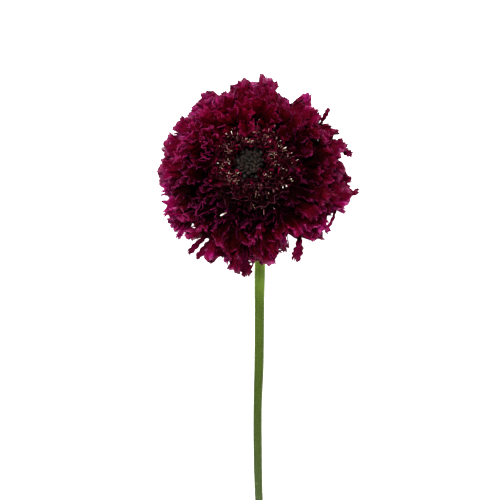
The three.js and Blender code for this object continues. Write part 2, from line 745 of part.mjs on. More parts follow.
head.add(
  mesh("outer_florets", outerFlorets().subtract(surfaceInHead), 0x6b0f3c, 0.6),
  mesh("inner_florets", innerFlorets(), 0x4a0718, 0.6),
  mesh("centre_buds", centreBuds(), 0x2b2420, 0.7),
  mesh("bracts", bracts().subtract(surfaceInHead), 0x5f7a2c, 0.65),
);

const flower = new THREE.Group();
flower.add(head, mesh("stem", stem().subtract(surface), 0x5c7424, 0.55));

const footprint = new THREE.Box3().setFromObject(flower, true);
const middle = footprint.getCenter(new THREE.Vector3());
flower.position.set(-middle.x, -middle.y, -footprint.min.z);

const part = new THREE.Group();
part.add(flower);
export default part;
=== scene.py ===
"""A cut scabiosa flower, a dark double form, lying on its back with its face up.

Lengths are in millimetres until a mesh is made, which is in metres. Each floret is worked out in the
head's own frame, whose +Z is the head's axis and whose origin is the middle of the receptacle.
placed() then leans the head back, as it lies. A surface is a grid of points given by two parameters:
one that runs across or round it, and one that runs out along it.

Florets stand on a golden-angle spiral. A floret's share is its place on the spiral, from 0 for the
outermost to 1 for the innermost, and a pair of values is mixed by it. Its turn is its direction about
the head's axis. Draws numbered by use make each a little different from the rest.
"""
import math

import bpy
import numpy as np
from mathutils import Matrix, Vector


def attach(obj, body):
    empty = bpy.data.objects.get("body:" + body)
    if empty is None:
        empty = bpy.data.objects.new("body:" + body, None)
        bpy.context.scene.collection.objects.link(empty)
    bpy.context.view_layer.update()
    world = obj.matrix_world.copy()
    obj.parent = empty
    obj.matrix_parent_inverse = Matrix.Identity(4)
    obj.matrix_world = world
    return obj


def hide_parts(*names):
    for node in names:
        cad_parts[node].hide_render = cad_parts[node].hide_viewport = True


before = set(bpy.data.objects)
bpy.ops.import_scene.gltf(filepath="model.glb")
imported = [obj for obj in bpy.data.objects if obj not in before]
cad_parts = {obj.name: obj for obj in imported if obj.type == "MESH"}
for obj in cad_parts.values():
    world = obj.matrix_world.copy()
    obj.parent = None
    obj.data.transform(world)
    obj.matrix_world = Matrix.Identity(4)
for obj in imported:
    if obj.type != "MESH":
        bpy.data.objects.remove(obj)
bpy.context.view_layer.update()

MM = 0.001
DEG = math.pi / 180
GOLDEN_ANGLE = 137.508 * DEG

# --- Dimensions, in millimetres -------------------------------------------------------------------

HEAD_AT = np.array([-0.421, 69.014, 14.9])  # middle of the receptacle
HEAD_LEAN_BACK = -18 * DEG
HEAD_LEAN_SIDE = -6.5 * DEG
LOWEST_PETAL = 0.3  # height of a petal's upper face where it lies on the surface
LOWEST_UNDERSIDE = 0.04  # and of its lower face
SETTLE = 0.25  # how gradually it bends to lie there

OUTER_COUNT = 33
BETWEEN_COUNT = 30  # smaller florets that fill the places between them
BETWEEN_SHARE = (0.12, 1.1)
BETWEEN_FIRST_TURN = 0.5 * GOLDEN_ANGLE + 1.1
BETWEEN_SIZE = (0.86, 0.72)  # of their blades, by a draw
OUTER_MOUTH_ANGLE = (106 * DEG, 66 * DEG)
OUTER_MOUTH_DISTANCE = (14.6, 16.6)
OUTER_BLADE_ANGLE = (99 * DEG, 50 * DEG)
OUTER_BLADE_LENGTH = (19.5, 10.6)
TUBE_FOOT = 10.5  # distance from the head's middle to where a tube comes out of its seed case
MOUTH_SCATTER = 3 * DEG  # by how much mouths and blades differ: a blade's rise, its turn and its roll
BLADE_SCATTER = 6 * DEG
TURN_SCATTER = 7 * DEG
ROLL_SCATTER = 8 * DEG
LEVEL_OUT = 17 * DEG  # the outermost are bent level again, against the head's lean back
STEEP_SIDE = 190 * DEG  # the turn at which the innermost of them stand most upright
STEEPEN = 28 * DEG
OPEN_SIDE = 273 * DEG  # and where they lie open, and sit further back
LAY_OPEN = 62 * DEG
SIT_BACK = 17 * DEG
HOLLOW_REACH = 23.0  # how far the painted shade of the dark hollow on that side reaches from the head's axis
# Further sides with painted shade, or painted light where the amount is negative: the turn, how
# narrow, how much, and the distances from the head's axis from which it is in full and at which it
# has ended.
SHADED_SIDES = [
    (232 * DEG, 2.0, 0.5, 0.0, 26.0),
    (214 * DEG, 5.0, 0.6, 0.0, 29.5),
    (256 * DEG, 6.0, 0.2, 0.0, 31.0),
    (-10 * DEG, 3.5, 0.55, 0.0, 27.5),
    (17 * DEG, 14.0, 0.15, 0.0, 45.0),
    (47 * DEG, 12.0, 0.16, 0.0, 45.0),
    (334 * DEG, 16.0, 0.2, 0.0, 45.0),
    (80 * DEG, 8.0, 0.17, 24.0, 45.0),
    (313 * DEG, 20.0, -0.24, 26.0, 45.0),
    (197 * DEG, 20.0, -0.2, 0.0, 28.0),
]
RAGGED_SIDE = 232 * DEG  # where the lobes are long and narrow
CALM_SIDE = 80 * DEG  # where the petals are longest and least ruffled, and lightened by painted light
CALM_SPREAD = 5 * DEG  # and open a little wider
RIM_SHARE = 0.34  # florets up to this share make the bloom's edge
BLOOM_RADIUS = 31.9
# Dips of that edge, and swells where the depth is negative: the direction and half width in degrees,
# and the depth in the outermost florets and in the rest.
EDGE_DIPS = np.array([
    (10, 5, 3.8, 4.0),
    (24, 5, -3.0, 0.0),
    (38, 3.5, 6.2, 6.8),
    (49, 5, -3.2, 0.0),
    (63, 3, 6.2, 7.2),
    (71, 6, 4.6, 5.0),
    (84, 6, -4.6, 0.0),
    (103, 6, 3.8, 3.5),
    (113, 4, 3.2, 3.5),
    (128, 4, 1.0, 1.5),
    (145, 8, 3.9, 3.9),
    (158, 6, 1.2, 2.0),
    (172, 6, 1.2, 1.6),
    (194, 4, -1.6, 0.0),
    (199, 3, 2.8, 2.0),
    (208, 5, -3.4, 0.0),
    (217, 3, 2.0, 1.6),
    (225, 3, 2.0, 3.0),
    (232, 5.5, 7.4, 8.4),
    (242, 4, -2.0, 0.0),
    (248, 3.5, 4.0, 4.0),
    (257, 3, 2.6, 2.0),
    (266, 3.5, -2.8, 0.0),
    (272, 4, 3.9, 3.5),
    (288, 4.5, 6.4, 6.4),
    (299.5, 4.5, 9.6, 11.0),
    (307, 4, 5.2, 6.2),
    (330, 4.5, 5.8, 6.2),
    (350, 6, -5.0, 0.0),
])
TRIM_SOFTNESS = 0.35  # how gradually petals are drawn in at that edge
LOBE_STEP = (31 * DEG, 42 * DEG)  # between the middles of two neighbouring lobes
LOBES = np.arange(-2, 3)
LOBE_LENGTH = np.array([0.56, 0.9, 1, 0.9, 0.56])
# How short and how long a lobe may get, times its plain length, to reach the bloom's edge. The florets
# behind it only get shorter, to stay inside it.
RIM_STRETCH = (0.6, np.array([1.2, 1.7, 1.6, 1.7, 1.2]))
INSIDE_STRETCH = (0.5, 1.0)
PETAL = 0.2  # thickness of a petal
PETAL_EDGE = 0.13
TOOTH_WIDTH = 0.8
TOOTH_TIP = 0.62  # where the tip of a tooth is, as a share of its width
SLIT_STEP = 3.9  # between two deeper slits
SLIT_WIDTH = 0.4
COLUMNS_PER_MM = 10.4  # of blade length, on each side of its middle
BLADE_ROWS = np.array([0.03, 0.12, 0.24, 0.37, 0.5, 0.63, 0.74, 0.83, 0.9, 0.95, 0.982, 1.0])
COARSE_ROWS = 8  # of these, whose columns are twice as wide
TUBE_ROWS = 2
TUBE_RADIUS = (0.6, 0.9)

# Narrow lobes that stand clear of that edge: direction and distance where each leaves the rest, the
# same of its tip, its width, and how much lighter it is.
LOOSE_LOBES = [
    (36.4, 26.4, 41.8, 33.2, 1.7, -0.7),
    (18, 28.6, 10.4, 33.0, 2.8, -0.6),
    (306.2, 25.0, 295, 31.8, 3.8, -0.6),
    (232.2, 24.0, 230.4, 33.9, 2.3, -1.0),
    (237.4, 24.0, 236.0, 33.6, 2.5, -0.9),
    (217.1, 28.0, 220.6, 32.8, 2.4, 0.3),
    (264, 26.5, 266.5, 33.8, 4.4, -1.6),
    (340, 28.4, 321.5, 30.0, 1.4, 0.1),
]
LOOSE_FOOT = 11  # distance of a loose lobe's foot from the head's middle
LOOSE_DROP = 3.2  # of a loose lobe behind the head's middle
CLAW = 0.35  # half the width of the stretch before it widens

INNER_COUNT = 96
INNER_ANGLE = (61 * DEG, 25 * DEG)
INNER_DISTANCE = (15.3, 13.7)
INNER_RADIUS = (3.7, 1.6)
INNER_PETAL = 0.16
INNER_ROWS = np.array([0.0, 0.28, 0.5, 0.72, 0.88, 1.0])
INNER_FIRST_TURN = 40 * DEG
INNER_BEND = 45 * DEG  # of those on the open side, outwards

RIPE_SIDE = 15 * DEG  # more of the inner florets there are ripe
RIPE = 0.6  # and this much ripeness opens a floret
BUD_RING_SIDE = 200 * DEG  # the innermost there are ripe too
THREADED_SHARE = 0.62  # inner florets from this share on show thin threads of their own
STYLE_SHADE_SIDE = 270 * DEG  # the styles there are less pale, as painted shade of the hollow
# Pale styles that have bent or fallen among the petals: foot and tip, across and along from the
# head's middle and up from the surface, and the thickness of the tip.
STRAY_STYLES = [
    ((-7.6, -11.9, 23.4), (-10.9, -13.5, 27.4), 0.3),
    ((9.5, -3.4, 25.6), (9.4, -4.5, 28.6), 0.2),
    ((10.2, -3.0, 25.4), (10.7, -4.1, 28.6), 0.22),
    ((-11.0, 3.4, 22.5), (-11.85, 3.6, 25.2), 0.2),
    ((-8.6, 12.7, 19.0), (-9.1, 13.3, 21.6), 0.18),
    ((20.4, 10.8, 18.8), (21.0, 11.2, 21.5), 0.22),
]

BUD_COUNT = 54
BUD_ZONE = 19 * DEG
BUD_RADIUS = 0.7
BUD_STRETCH = 1.3  # a bud's height over its width
BUD_TOP = 13.6
BRISTLE_COUNT = 230
BRISTLE_ZONE = 58 * DEG
BRISTLE_FOOT = 10.5
SEED_CASE_FOOT = 5.4
# The seed cases under each kind of floret: how many, the angles from the head's axis that they are
# spread between, the distance of their tops from its middle, their radius and the first one's turn.
OUTER_CASES = (96, (60 * DEG, 116 * DEG), 11.4, 1.05, 0.4)
INNER_CASES = (64, (30 * DEG, 62 * DEG), 11.6, 0.95, 0.9)
BUD_CASES = (26, (2 * DEG, 27 * DEG), 11.2, 1.0, 0.2)

BRACT_COUNT = 11
BRACT_LENGTH = 12.5
BRACT_WIDTH = 3.0
BRACT_ANGLE = 112 * DEG
BRACT_FOOT_ANGLE = 124 * DEG
COLLAR_RADIUS = 8.4
COLLAR_ANGLE = (112 * DEG, 158 * DEG)
COLLAR_THICKNESS = 1.4
RECEPTACLE_RADIUS = 5.9

# The stem's centre line seen from above, and its radius, from the neck to the cut end.
STEM_X = np.array([2.1, 1.9, 1.8, 1.65, 1.25, 1.25, 1.55, 2.6, 4.2, 6.4]) + HEAD_AT[0]
STEM_Y = np.array([-25, -36, -52, -64, -76, -90, -104, -122, -144, -170]) + HEAD_AT[1]
STEM_RADIUS = np.array([1.72, 1.68, 1.6, 1.54, 1.46, 1.4, 1.36, 1.34, 1.34, 1.38])
STEM_SIDES = 60
STEM_RIBS = 10
PRESS = 0.12  # how far it is pressed into the flat on which it lies
FLAT_HEIGHT = 0.03
FLAT_SOFTNESS = 0.08
NECK_RADIUS = 1.9
CUT_AT = HEAD_AT[1] - 168.4
CUT_HEIGHT = 1.22
CUT_SLANT = math.tan(35 * DEG)
HAIR_COUNT = 5200
HAIR_LENGTH = (0.22, 0.52)
HAIR_WIDTH = 0.022

# --- Small tools ----------------------------------------------------------------------------------


def draw(item, use):
    """A repeatable number from 0 to 1: the fraction of a large sine of the item and its use."""
    wave = np.sin(np.asarray(item) * 12.9898 + use * 78.233 + 4.1) * 43758.5453
    return wave - np.floor(wave)


def spread(item, use):
    """A repeatable number from -1 to 1."""
    return 2 * draw(item, use) - 1


def mix(pair, share):
    return pair[0] + (pair[1] - pair[0]) * share


def smooth(share):
    """An even step from 0 to 1: s^2 (3 - 2 s)."""
    share = np.clip(share, 0, 1)
    return share * share * (3 - 2 * share)


def facing(turn, side, narrow, shift):
    """How much a turn faces a side, from 0 to 1: a smooth step of narrow cos(turn - side) - shift."""
    return float(smooth(narrow * math.cos(turn - side) - shift))


def unit(vectors):
    return vectors / np.maximum(np.linalg.norm(vectors, axis=-1, keepdims=True), 1e-12)


def direction(angle, turn):
    """The unit vector at an angle from the head's axis and a turn about it."""
    angle, turn = np.broadcast_arrays(angle, turn)
    return np.stack([np.sin(angle) * np.cos(turn), np.sin(angle) * np.sin(turn), np.cos(angle)], -1)


def square_to(up, hint):
    """Two unit vectors square to up, which are called east and north."""
    east = unit(np.cross(hint, up))
    return east, np.cross(up, east)


def about_axis(up, east, north, radius, turn, rise):
    """Points round an axis: rise up + r cos(turn) east + r sin(turn) north."""
    x, y = radius * np.cos(turn), radius * np.sin(turn)
    return rise[..., None] * up + x[..., None] * east + y[..., None] * north


def turned_about(vector, axis, angle):
    """The vector turned about a unit axis: v cos + (a x v) sin + a (a.v)(1 - cos)."""
    return (
        vector * math.cos(angle)
        + np.cross(axis, vector) * math.sin(angle)
        + axis * np.dot(axis, vector) * (1 - math.cos(angle))
    )


def head_turn():
    """The matrix that leans the head back about X, after leaning it to the side about Y."""
    ca, sa = math.cos(HEAD_LEAN_BACK), math.sin(HEAD_LEAN_BACK)
    cb, sb = math.cos(HEAD_LEAN_SIDE), math.sin(HEAD_LEAN_SIDE)
    back = np.array([[1, 0, 0], [0, ca, -sa], [0, sa, ca]])
    aside = np.array([[cb, 0, sb], [0, 1, 0], [-sb, 0, cb]])
    return back @ aside


HEAD_TURN = head_turn()


def placed(points):
    """Points of the head's frame where they lie in the flower's frame."""
    return points @ HEAD_TURN.T + HEAD_AT


def lifted(points, lowest, softness):
    """Points lifted off the surface: z becomes lowest + s log(1 + exp((z - lowest) / s))."""
    moved = points.copy()
    moved[..., 2] = lowest + softness * np.logaddexp(0, (points[..., 2] - lowest) / softness)
    return moved


def settled(points):
    """Petals or bracts bent to lie on the surface."""
    return lifted(points, LOWEST_PETAL, SETTLE)


# --- Meshes ---------------------------------------------------------------------------------------


class Pile:
    """The points, faces and values of many small closed shapes that together make one piece."""

    def __init__(self):
        self.points, self.faces, self.values, self.count = [], [], [], 0

    def add(self, points, faces, **values):
        self.points.append(points.reshape(-1, 3))
        self.faces += [f + self.count for f in faces]
        count = len(self.points[-1])
        self.values.append({k: np.broadcast_to(v, count).ravel() for k, v in values.items()})
        self.count += count


def make_piece(name, pile, material, slot, *nodes):
    """One object at the origin from a pile, with each of its values as a point attribute."""
    points = np.concatenate(pile.points) * MM
    corners = np.concatenate([f.ravel() for f in pile.faces])
    sizes = np.concatenate([np.full(len(f), f.shape[1]) for f in pile.faces])
    mesh = bpy.data.meshes.new(name)
    mesh.vertices.add(len(points))
    mesh.vertices.foreach_set("co", points.astype(np.float32).ravel())
    mesh.loops.add(len(corners))
    mesh.loops.foreach_set("vertex_index", corners.astype(np.int32))
    mesh.polygons.add(len(sizes))
    mesh.polygons.foreach_set("loop_start", (np.cumsum(sizes) - sizes).astype(np.int32))
    mesh.update(calc_edges=True)
    mesh.shade_smooth()
    for key in pile.values[0]:
        values = np.concatenate([v[key] for v in pile.values])
        mesh.attributes.new(key, "FLOAT", "POINT").data.foreach_set("value", values.astype(np.float32))
    mesh.materials.append(material)
    piece = bpy.data.objects.new(name, mesh)
    bpy.context.scene.collection.objects.link(piece)
    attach(piece, "root")
    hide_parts(*nodes)


def grid_faces(index):
    """Quads of a grid of indices whose normal is out x across, for axes (across, out)."""
    return np.stack([index[:-1, :-1], index[:-1, 1:], index[1:, 1:], index[1:, :-1]], -1).reshape(-1, 4)


def seam_faces(near, far):
    """Triangles between a row of points and the next, which has another point between each two."""
    first, middle, last = far[:-1:2], far[1::2], far[2::2]
    corners = [(near[:-1], first, middle), (near[:-1], middle, near[1:]), (near[1:], middle, last)]
    return np.concatenate([np.stack(c, -1) for c in corners])


def add_sheet(pile, top, thickness, floor=None, round_about=False, fine_from=0, **values):
    """A closed sheet. Its upper face is the grid, its lower face is the grid moved against its normal
    by the thickness, and walls join the two round the border. A sheet that goes round about is a
    tube wall, whose first and last columns are the same. Before the row fine_from the grid has only
    every second column, and the two parts meet in a row of triangles."""
    across = np.gradient(top, axis=0)
    if round_about:
        across[0] = across[-1] = (top[1] - top[-2]) / 2
    normal = unit(np.cross(np.gradient(top, axis=1), across))
    low = top - normal * np.broadcast_to(thickness, top.shape[:2])[..., None]
    if floor is not None:
        low[..., 2] = np.maximum(low[..., 2], floor)
    used = np.ones(top.shape[:2], bool)
    used[1::2, :fine_from] = False
    used[-1] &= not round_about
    size = int(used.sum())
    index = (np.cumsum(used.ravel()) - 1).reshape(used.shape)
    if round_about:
        index[-1] = index[0]
        rings = [index[:, -1], index[::-1, 0]]
    else:
        back = index[:0:-2, 0] if fine_from else index[:0:-1, 0]
        around = np.concatenate([index[0, :-1], index[:-1, -1], index[-1, :0:-1], back])
        rings = [np.append(around, around[0])]
    upper = [np.concatenate([grid_faces(index[::2, :fine_from]), grid_faces(index[:, fine_from:])])]
    if fine_from:
        upper.append(seam_faces(index[::2, fine_from - 1], index[:, fine_from]))
    both = [faces for part in upper for faces in (part, part[:, ::-1] + size)]
    walls = [np.stack([r[1:], r[:-1], r[:-1] + size, r[1:] + size], -1) for r in rings]
    doubled = {k: np.tile(np.broadcast_to(v, used.shape)[used], 2) for k, v in values.items()}
    under = np.repeat([0.0, 1.0], size)
    pile.add(np.concatenate([top[used], low[used]]), both + walls, under=under, **doubled)


def add_body(pile, grid, **values):
    """A closed body from a grid (round, along): each column is a line along it, the rings close on
    themselves, and both end rings are filled by one point in their middle. The normal of the grid
    is along x round, which points out of the body."""
    columns, rows = grid.shape[:2]
    index = np.arange(columns * rows).reshape(columns, rows)
    closed = np.vstack([index, index[:1]])
    side = grid_faces(closed)[:, ::-1]
    first, last = columns * rows, columns * rows + 1
    foot = np.stack([closed[1:, 0], closed[:-1, 0], np.full(columns, first)], -1)
    top = np.stack([closed[:-1, -1], closed[1:, -1], np.full(columns, last)], -1)
    points = np.concatenate([grid.reshape(-1, 3), grid[:, 0].mean(0)[None], grid[:, -1].mean(0)[None]])
    ended = {}
    for key, value in values.items():
        full = np.broadcast_to(value, (columns, rows))
        ended[key] = np.concatenate([full.ravel(), [full[:, 0].mean(), full[:, -1].mean()]])
    pile.add(points, [side, foot, top], **ended)


def frame_along(path):
    """Two unit vectors square to a path at each of its points, for a path that doesn't run along X."""
    nearly_x = np.array([1.0, 0.03, 0.02])
    along = unit(np.gradient(path, axis=0))
    across = unit(nearly_x - along * (along @ nearly_x)[:, None])
    return across, np.cross(along, across)


def tube_grid(path, radius, sides):
    """A round profile carried along a path: path + radius (across cos t + over sin t)."""
    across, over = frame_along(path)
    t = np.linspace(0, 2 * np.pi, sides, endpoint=False)[:, None, None]
    return path + np.asarray(radius)[..., None] * (across * np.cos(t) + over * np.sin(t))


def bent_line(start, way, length, bend, steps):
    """A line that leaves the start along one way and bends towards another: s + w l t + b t^2."""
    t = np.linspace(0, 1, steps)[:, None]
    return start + way * (length * t) + bend * t**2


def add_thread(pile, path, radius, sides, **values):
    """A thin round thread along a path of the head's frame."""
    add_body(pile, placed(tube_grid(path, radius, sides)), **values)


# --- Outer florets --------------------------------------------------------------------------------


def outer_floret(i, share, turn, shorter=1.0):
    """Where a floret of the outer rings sits, and the directions, size and habit of its blade."""
    inner = smooth(1.6 * share - 0.4)
    opened = facing(turn, OPEN_SIDE, 2.4, 1.4) * inner
    calm = facing(turn, CALM_SIDE, 1.5, 0.2) * smooth(2 * share - 0.4)
    steep = (0.5 + 0.5 * math.cos(turn - STEEP_SIDE)) * inner
    level = LEVEL_OUT * math.sin(turn) * (1 - smooth(1.5 * share - 0.5))
    mouth_angle = mix(OUTER_MOUTH_ANGLE, share) + MOUTH_SCATTER * spread(i, 1) + SIT_BACK * opened
    blade_angle = mix(OUTER_BLADE_ANGLE, share) + BLADE_SCATTER * spread(i, 2)
    blade_angle += LAY_OPEN * opened + CALM_SPREAD * calm - STEEPEN * steep - level
    blade_turn = turn + TURN_SCATTER * spread(i, 3)
    root = direction(mouth_angle, turn)
    forward = direction(blade_angle, blade_turn)
    side = np.array([-math.sin(blade_turn), math.cos(blade_turn), 0])
    side = turned_about(side, forward, ROLL_SCATTER * spread(i, 4))
    return {
        "share": share,
        "on_rim": share < RIM_SHARE,
        "turn": turn,
        "root": root,
        "mouth": root * mix(OUTER_MOUTH_DISTANCE, share),
        "forward": forward,
        "side": side,
        "up": np.cross(forward, side),
        "length": shorter * mix(OUTER_BLADE_LENGTH, share) * (1 + 0.1 * spread(i, 5) + 0.12 * calm),
        "step": mix(LOBE_STEP, share),
        "beyond": 0.9 * spread(i, 111) + 1.4 * spread(i, 112 + LOBES),
        "opened": opened,
        "steep": steep,
        "calm": calm,
        "ruffle": (1.0 - 0.25 * math.cos(turn - CALM_SIDE)) * (1 - 0.25 * calm),
        "ragged": max(facing(turn, RAGGED_SIDE, 2.2, 1.2), 0.8 * (draw(i, 110) > 0.88)),
    }


def bloom_edge(spots, floret):
    """Radius of the bloom seen along Z in the direction of each spot: a circle less a bell-shaped dip
    at each listed direction."""
    depth = EDGE_DIPS[:, 2 if floret["on_rim"] else 3]
    azimuth = np.arctan2(spots[..., 1], spots[..., 0])
    away = (azimuth[..., None] / DEG - EDGE_DIPS[:, 0] + 180) % 360 - 180
    return BLOOM_RADIUS - (depth * np.exp(-((away / EDGE_DIPS[:, 1]) ** 2))).sum(-1)


def fitted(lobes, lifts, floret):
    """Lobe lengths that bring each tip of an outermost floret to the bloom's edge, and that keep the
    tips of the rest inside it: the f for which |base + f (tip - base)| is the edge's radius."""
    turns = LOBES * floret["step"]
    reach = (floret["length"] * lobes)[:, None]
    tips = floret["mouth"] + reach * (
        np.cos(turns)[:, None] * floret["forward"] + np.sin(turns)[:, None] * floret["side"]
    ) + lifts[:, None] * floret["up"]
    base = (placed(floret["mouth"]) - HEAD_AT)[:2]
    way = (placed(tips) - HEAD_AT)[:, :2] - base
    scale = np.ones(5)
    shortest, longest = RIM_STRETCH if floret["on_rim"] else INSIDE_STRETCH
    for _ in range(3):
        radius = bloom_edge(base + scale[:, None] * way, floret) + floret["beyond"]
        a, b, c = (way**2).sum(1), 2 * way @ base, base @ base - radius**2
        scale = (-b + np.sqrt(np.maximum(b * b - 4 * a * c, 0))) / (2 * a)
        scale = np.clip(scale, shortest, longest)
    return lobes * scale


def trimmed(fan, floret, beyond):
    """The fan drawn in level with the surface where it passes the bloom's edge, which each lobe and
    tooth has beyond it by its own amount: a distance r from the head's middle becomes
    R - s log(1 + exp((R - r) / s)), which never passes R."""
    away = (placed(fan) - HEAD_AT)[..., :2]
    r = np.linalg.norm(away, axis=-1)
    edge = bloom_edge(away, floret) + beyond
    kept = edge - TRIM_SOFTNESS * np.logaddexp(0, (edge - r) / TRIM_SOFTNESS)
    shift = away * ((kept / r - 1) * (kept > 0.5 * r))[..., None]
    return fan + np.concatenate([shift, 0 * shift[..., :1]], -1) @ HEAD_TURN


def lobe_value(place, values):
    """A value given for each of five lobes, blended between the two that are next to each place."""
    first = np.floor(place)
    here, there = (values[np.clip(lobe, -2, 2).astype(int) + 2] for lobe in (first, first + 1))
    blend = smooth(place - first)
    return here * (1 - blend) + there * blend


def toothed(i, along):
    """How far the edge stands out at a distance along it: pointed teeth that lean one way, of a width
    that wanders, with a deeper slit here and there."""
    a, b, c, d = (2 * np.pi * draw(i, use) for use in (90, 91, 92, 93))
    pace = along / TOOTH_WIDTH + 0.3 * np.sin(along * 1.07 + a) + 0.15 * np.sin(along * 2.3 + b)
    depth = 1.0 + 0.4 * np.sin(along * 0.83 + c) + 0.3 * spread(i + np.floor(pace), 89)
    at = pace - np.floor(pace)
    teeth = -depth * (1 - np.minimum(at / TOOTH_TIP, (1 - at) / (1 - TOOTH_TIP)))
    slit_pace = along / SLIT_STEP + 0.3 * np.sin(along * 0.5 + d)
    slit_depth = 2.2 * draw(i + np.floor(slit_pace), 94)
    slit = np.exp(-(((slit_pace - np.floor(slit_pace) - 0.5) * SLIT_STEP / SLIT_WIDTH) ** 2))
    return 0.5 + teeth - slit_depth * slit


def crumple(points, i, size, wave):
    """A smooth uneven shift of points: a sum of five plane sine waves of lengths near the wave, each
    along its own direction and with its own shift."""
    rng = np.random.default_rng(1000 + i)
    shift = np.zeros_like(points)
    for _ in range(5):
        way = unit(rng.normal(size=3)) * 2 * np.pi / (wave * (0.7 + 0.8 * rng.random()))
        shift += unit(rng.normal(size=3)) * np.sin(points @ way + 6.3 * rng.random())[..., None]
    return shift * size / 5**0.5


def petal_edge(i, floret, lifts):
    """The edge of a fan, point by point from one side to the other: its place p from -2.5 to 2.5 among
    the lobes, its reach and angle from the mouth, its distance along the edge, how far its tooth
    stands out, and that forwards and sideways. Between two lobes the reach is less by the notch,
    cut (1 - |cos(pi p)|)^narrow of it."""
    length, ragged = floret["length"], floret["ragged"]
    p = np.linspace(-2.5, 2.5, 2 * int(round(length * COLUMNS_PER_MM)) + 1)
    lobe = lobe_value(p, fitted(LOBE_LENGTH * (1 + 0.17 * spread(i, 20 + LOBES)), lifts, floret))
    cut = 0.52 + 0.12 * spread(i, 101) + 0.2 * spread(i, 102 + LOBES) + 0.3 * ragged
    cut = np.clip(lobe_value(p + 0.5, cut), 0.2, 0.85)
    narrow = mix((mix((2, 5), draw(i, 108)), 0.9), ragged)
    reach = length * lobe * (1 - cut * (1 - np.abs(np.cos(np.pi * p))) ** narrow)
    angle = p * floret["step"]
    edge = np.stack([reach * np.cos(angle), reach * np.sin(angle)], -1)
    along = np.concatenate([[0], np.cumsum(np.linalg.norm(np.diff(edge, axis=0), axis=1))])
    run = unit(np.gradient(edge, axis=0))
    tooth = toothed(i, along) * smooth(reach / 5 - 0.3)
    return p, reach, angle, along, tooth, tooth * run[:, 1], -tooth * run[:, 0]


def petal_shade(floret, from_axis):
    """How much painted shade darkens a floret at distances from the head's axis, or how much painted
    light lightens it where it is negative: the shade of the hollow on the open side, and the further
    sides."""
    deep = floret["opened"] * smooth((HOLLOW_REACH - from_axis) / 5)
    for side, narrow, amount, start, far in SHADED_SIDES:
        change = amount * facing(floret["turn"], side, narrow, narrow - 1.2)
        change = change * smooth(1 + (from_axis - start) / 5) * smooth((far - from_axis) / 7)
        deep = np.maximum(deep, change) if amount > 0 else deep + change
    return deep


def outer_petal(pile, i, floret):
    """One floret: a tube that opens into a fan of five lobes.

    The fan at a place p from -2.5 to 2.5 and a share o from its mouth to its edge is
      mouth + forward r o cos(p step) + side r o sin(p step) + up h(p, o),
    where r is the reach of the lobe with its notches and teeth, and h adds the lift of the sides, the
    droop, the arch, the tilt and twist of each lobe, the pleats, and ruffles that grow towards the
    edge. The fan is then crumpled and trimmed. Near its mouth it blends into a ring whose two ends
    meet at the top, and the ring runs back down as the tube.
    """
    length, share, ruffle, mouth = (floret[key] for key in ("length", "share", "ruffle", "mouth"))
    forward, side, up = (floret[key] for key in ("forward", "side", "up"))
    cup = mix((0.16, 0.42), smooth(share * 1.3 - 0.3)) * (1 + 0.5 * spread(i, 109))
    droop = mix((3.6, 0.2), share)
    uneven = 1 - 0.3 * floret["calm"]
    tilts = 2.1 * uneven * spread(i, 30 + LOBES), 2.2 * uneven * spread(i, 130 + LOBES)
    lifts = cup * length * (1 - np.cos(LOBES * floret["step"])) - droop + tilts[0] + tilts[1]
    edge = petal_edge(i, floret, lifts)
    p, reach, angle, along, tooth, tooth_forward, tooth_side = (v[:, None] for v in edge)
    o = BLADE_ROWS[None]
    a, b, c = (2 * np.pi * draw(i, use) for use in (95, 96, 97))
    twist = lobe_value(p, spread(i, 140 + LOBES)) * (p - np.round(p)) * 0.55 * reach
    height = (
        cup * length * (1 - np.cos(angle)) * o
        - droop * o**2
        + 1.3 * np.sin(np.pi * o)
        + lobe_value(p, tilts[0]) * o**1.4
        + lobe_value(p, tilts[1]) * o**3.5
        + twist * o**1.5
        + 0.8 * np.cos(2 * np.pi * p + 3 * draw(i, 6)) * o**1.6
        + ruffle * 1.1 * np.sin(along * 1.3 + a + 1.1 * np.sin(along * 0.47 + b)) * o**2.6
        + ruffle * 0.7 * np.sin(along * 2.7 + c + 0.9 * np.sin(along * 0.9 + a)) * o**4
        + ruffle * 0.38 * np.sin(along * 5.6 + b + 0.9 * np.sin(along * 1.6 + c)) * o**5
    )
    swung = angle + 0.07 * np.sin(along * 1.25 + a + 1.2) * o**2
    fan = (
        mouth
        + (reach * o * np.cos(swung) + tooth_forward * o**7)[..., None] * forward
        + (reach * o * np.sin(swung) + tooth_side * o**7)[..., None] * side
        + height[..., None] * up
    )
    fan += crumple(fan, i, 0.85 * uneven, 6.0) * (o**1.3)[..., None]
    fan += crumple(fan, i + 300, 0.42 * uneven, 2.5) * (o**1.5)[..., None]
    fan += crumple(fan, i + 600, 0.26, 1.5) * (o**2)[..., None]
    fan = trimmed(fan, floret, lobe_value(p, floret["beyond"]) + 0.5 + tooth * o**7)
    theta = p / 2.5 * np.pi * 0.95

    def ring(middle, radius):
        x, y = radius * np.sin(theta), radius * np.cos(theta)
        return middle + x[..., None] * side - y[..., None] * up

    blend = smooth(o / 0.34)[..., None]
    blade = ring(mouth + (o * length)[..., None] * forward, 0.95 + 3.2 * o) * (1 - blend) + fan * blend
    foot = floret["root"] * TUBE_FOOT
    t = np.linspace(0, 0.6, TUBE_ROWS)[None]
    tube = ring(foot + (mouth - foot) * t[..., None], mix(TUBE_RADIUS, t))
    whole = np.concatenate([tube, blade], axis=1)
    out = np.concatenate([0 * t - 0.1, o], axis=1)
    # Painted shade of the hollow and the further sides, or painted light where it is negative.
    deep = petal_shade(floret, np.linalg.norm(whole[..., :2], axis=-1))
    add_sheet(pile, settled(placed(whole)), mix((PETAL, PETAL_EDGE), np.clip(out, 0, 1) ** 3),
              floor=LOWEST_UNDERSIDE, fine_from=TUBE_ROWS + COARSE_ROWS, out=out, across=p / 5 + 0.5,
              calm=floret["calm"], deep=deep, steep=floret["steep"], own=draw(i, 99), share=share)


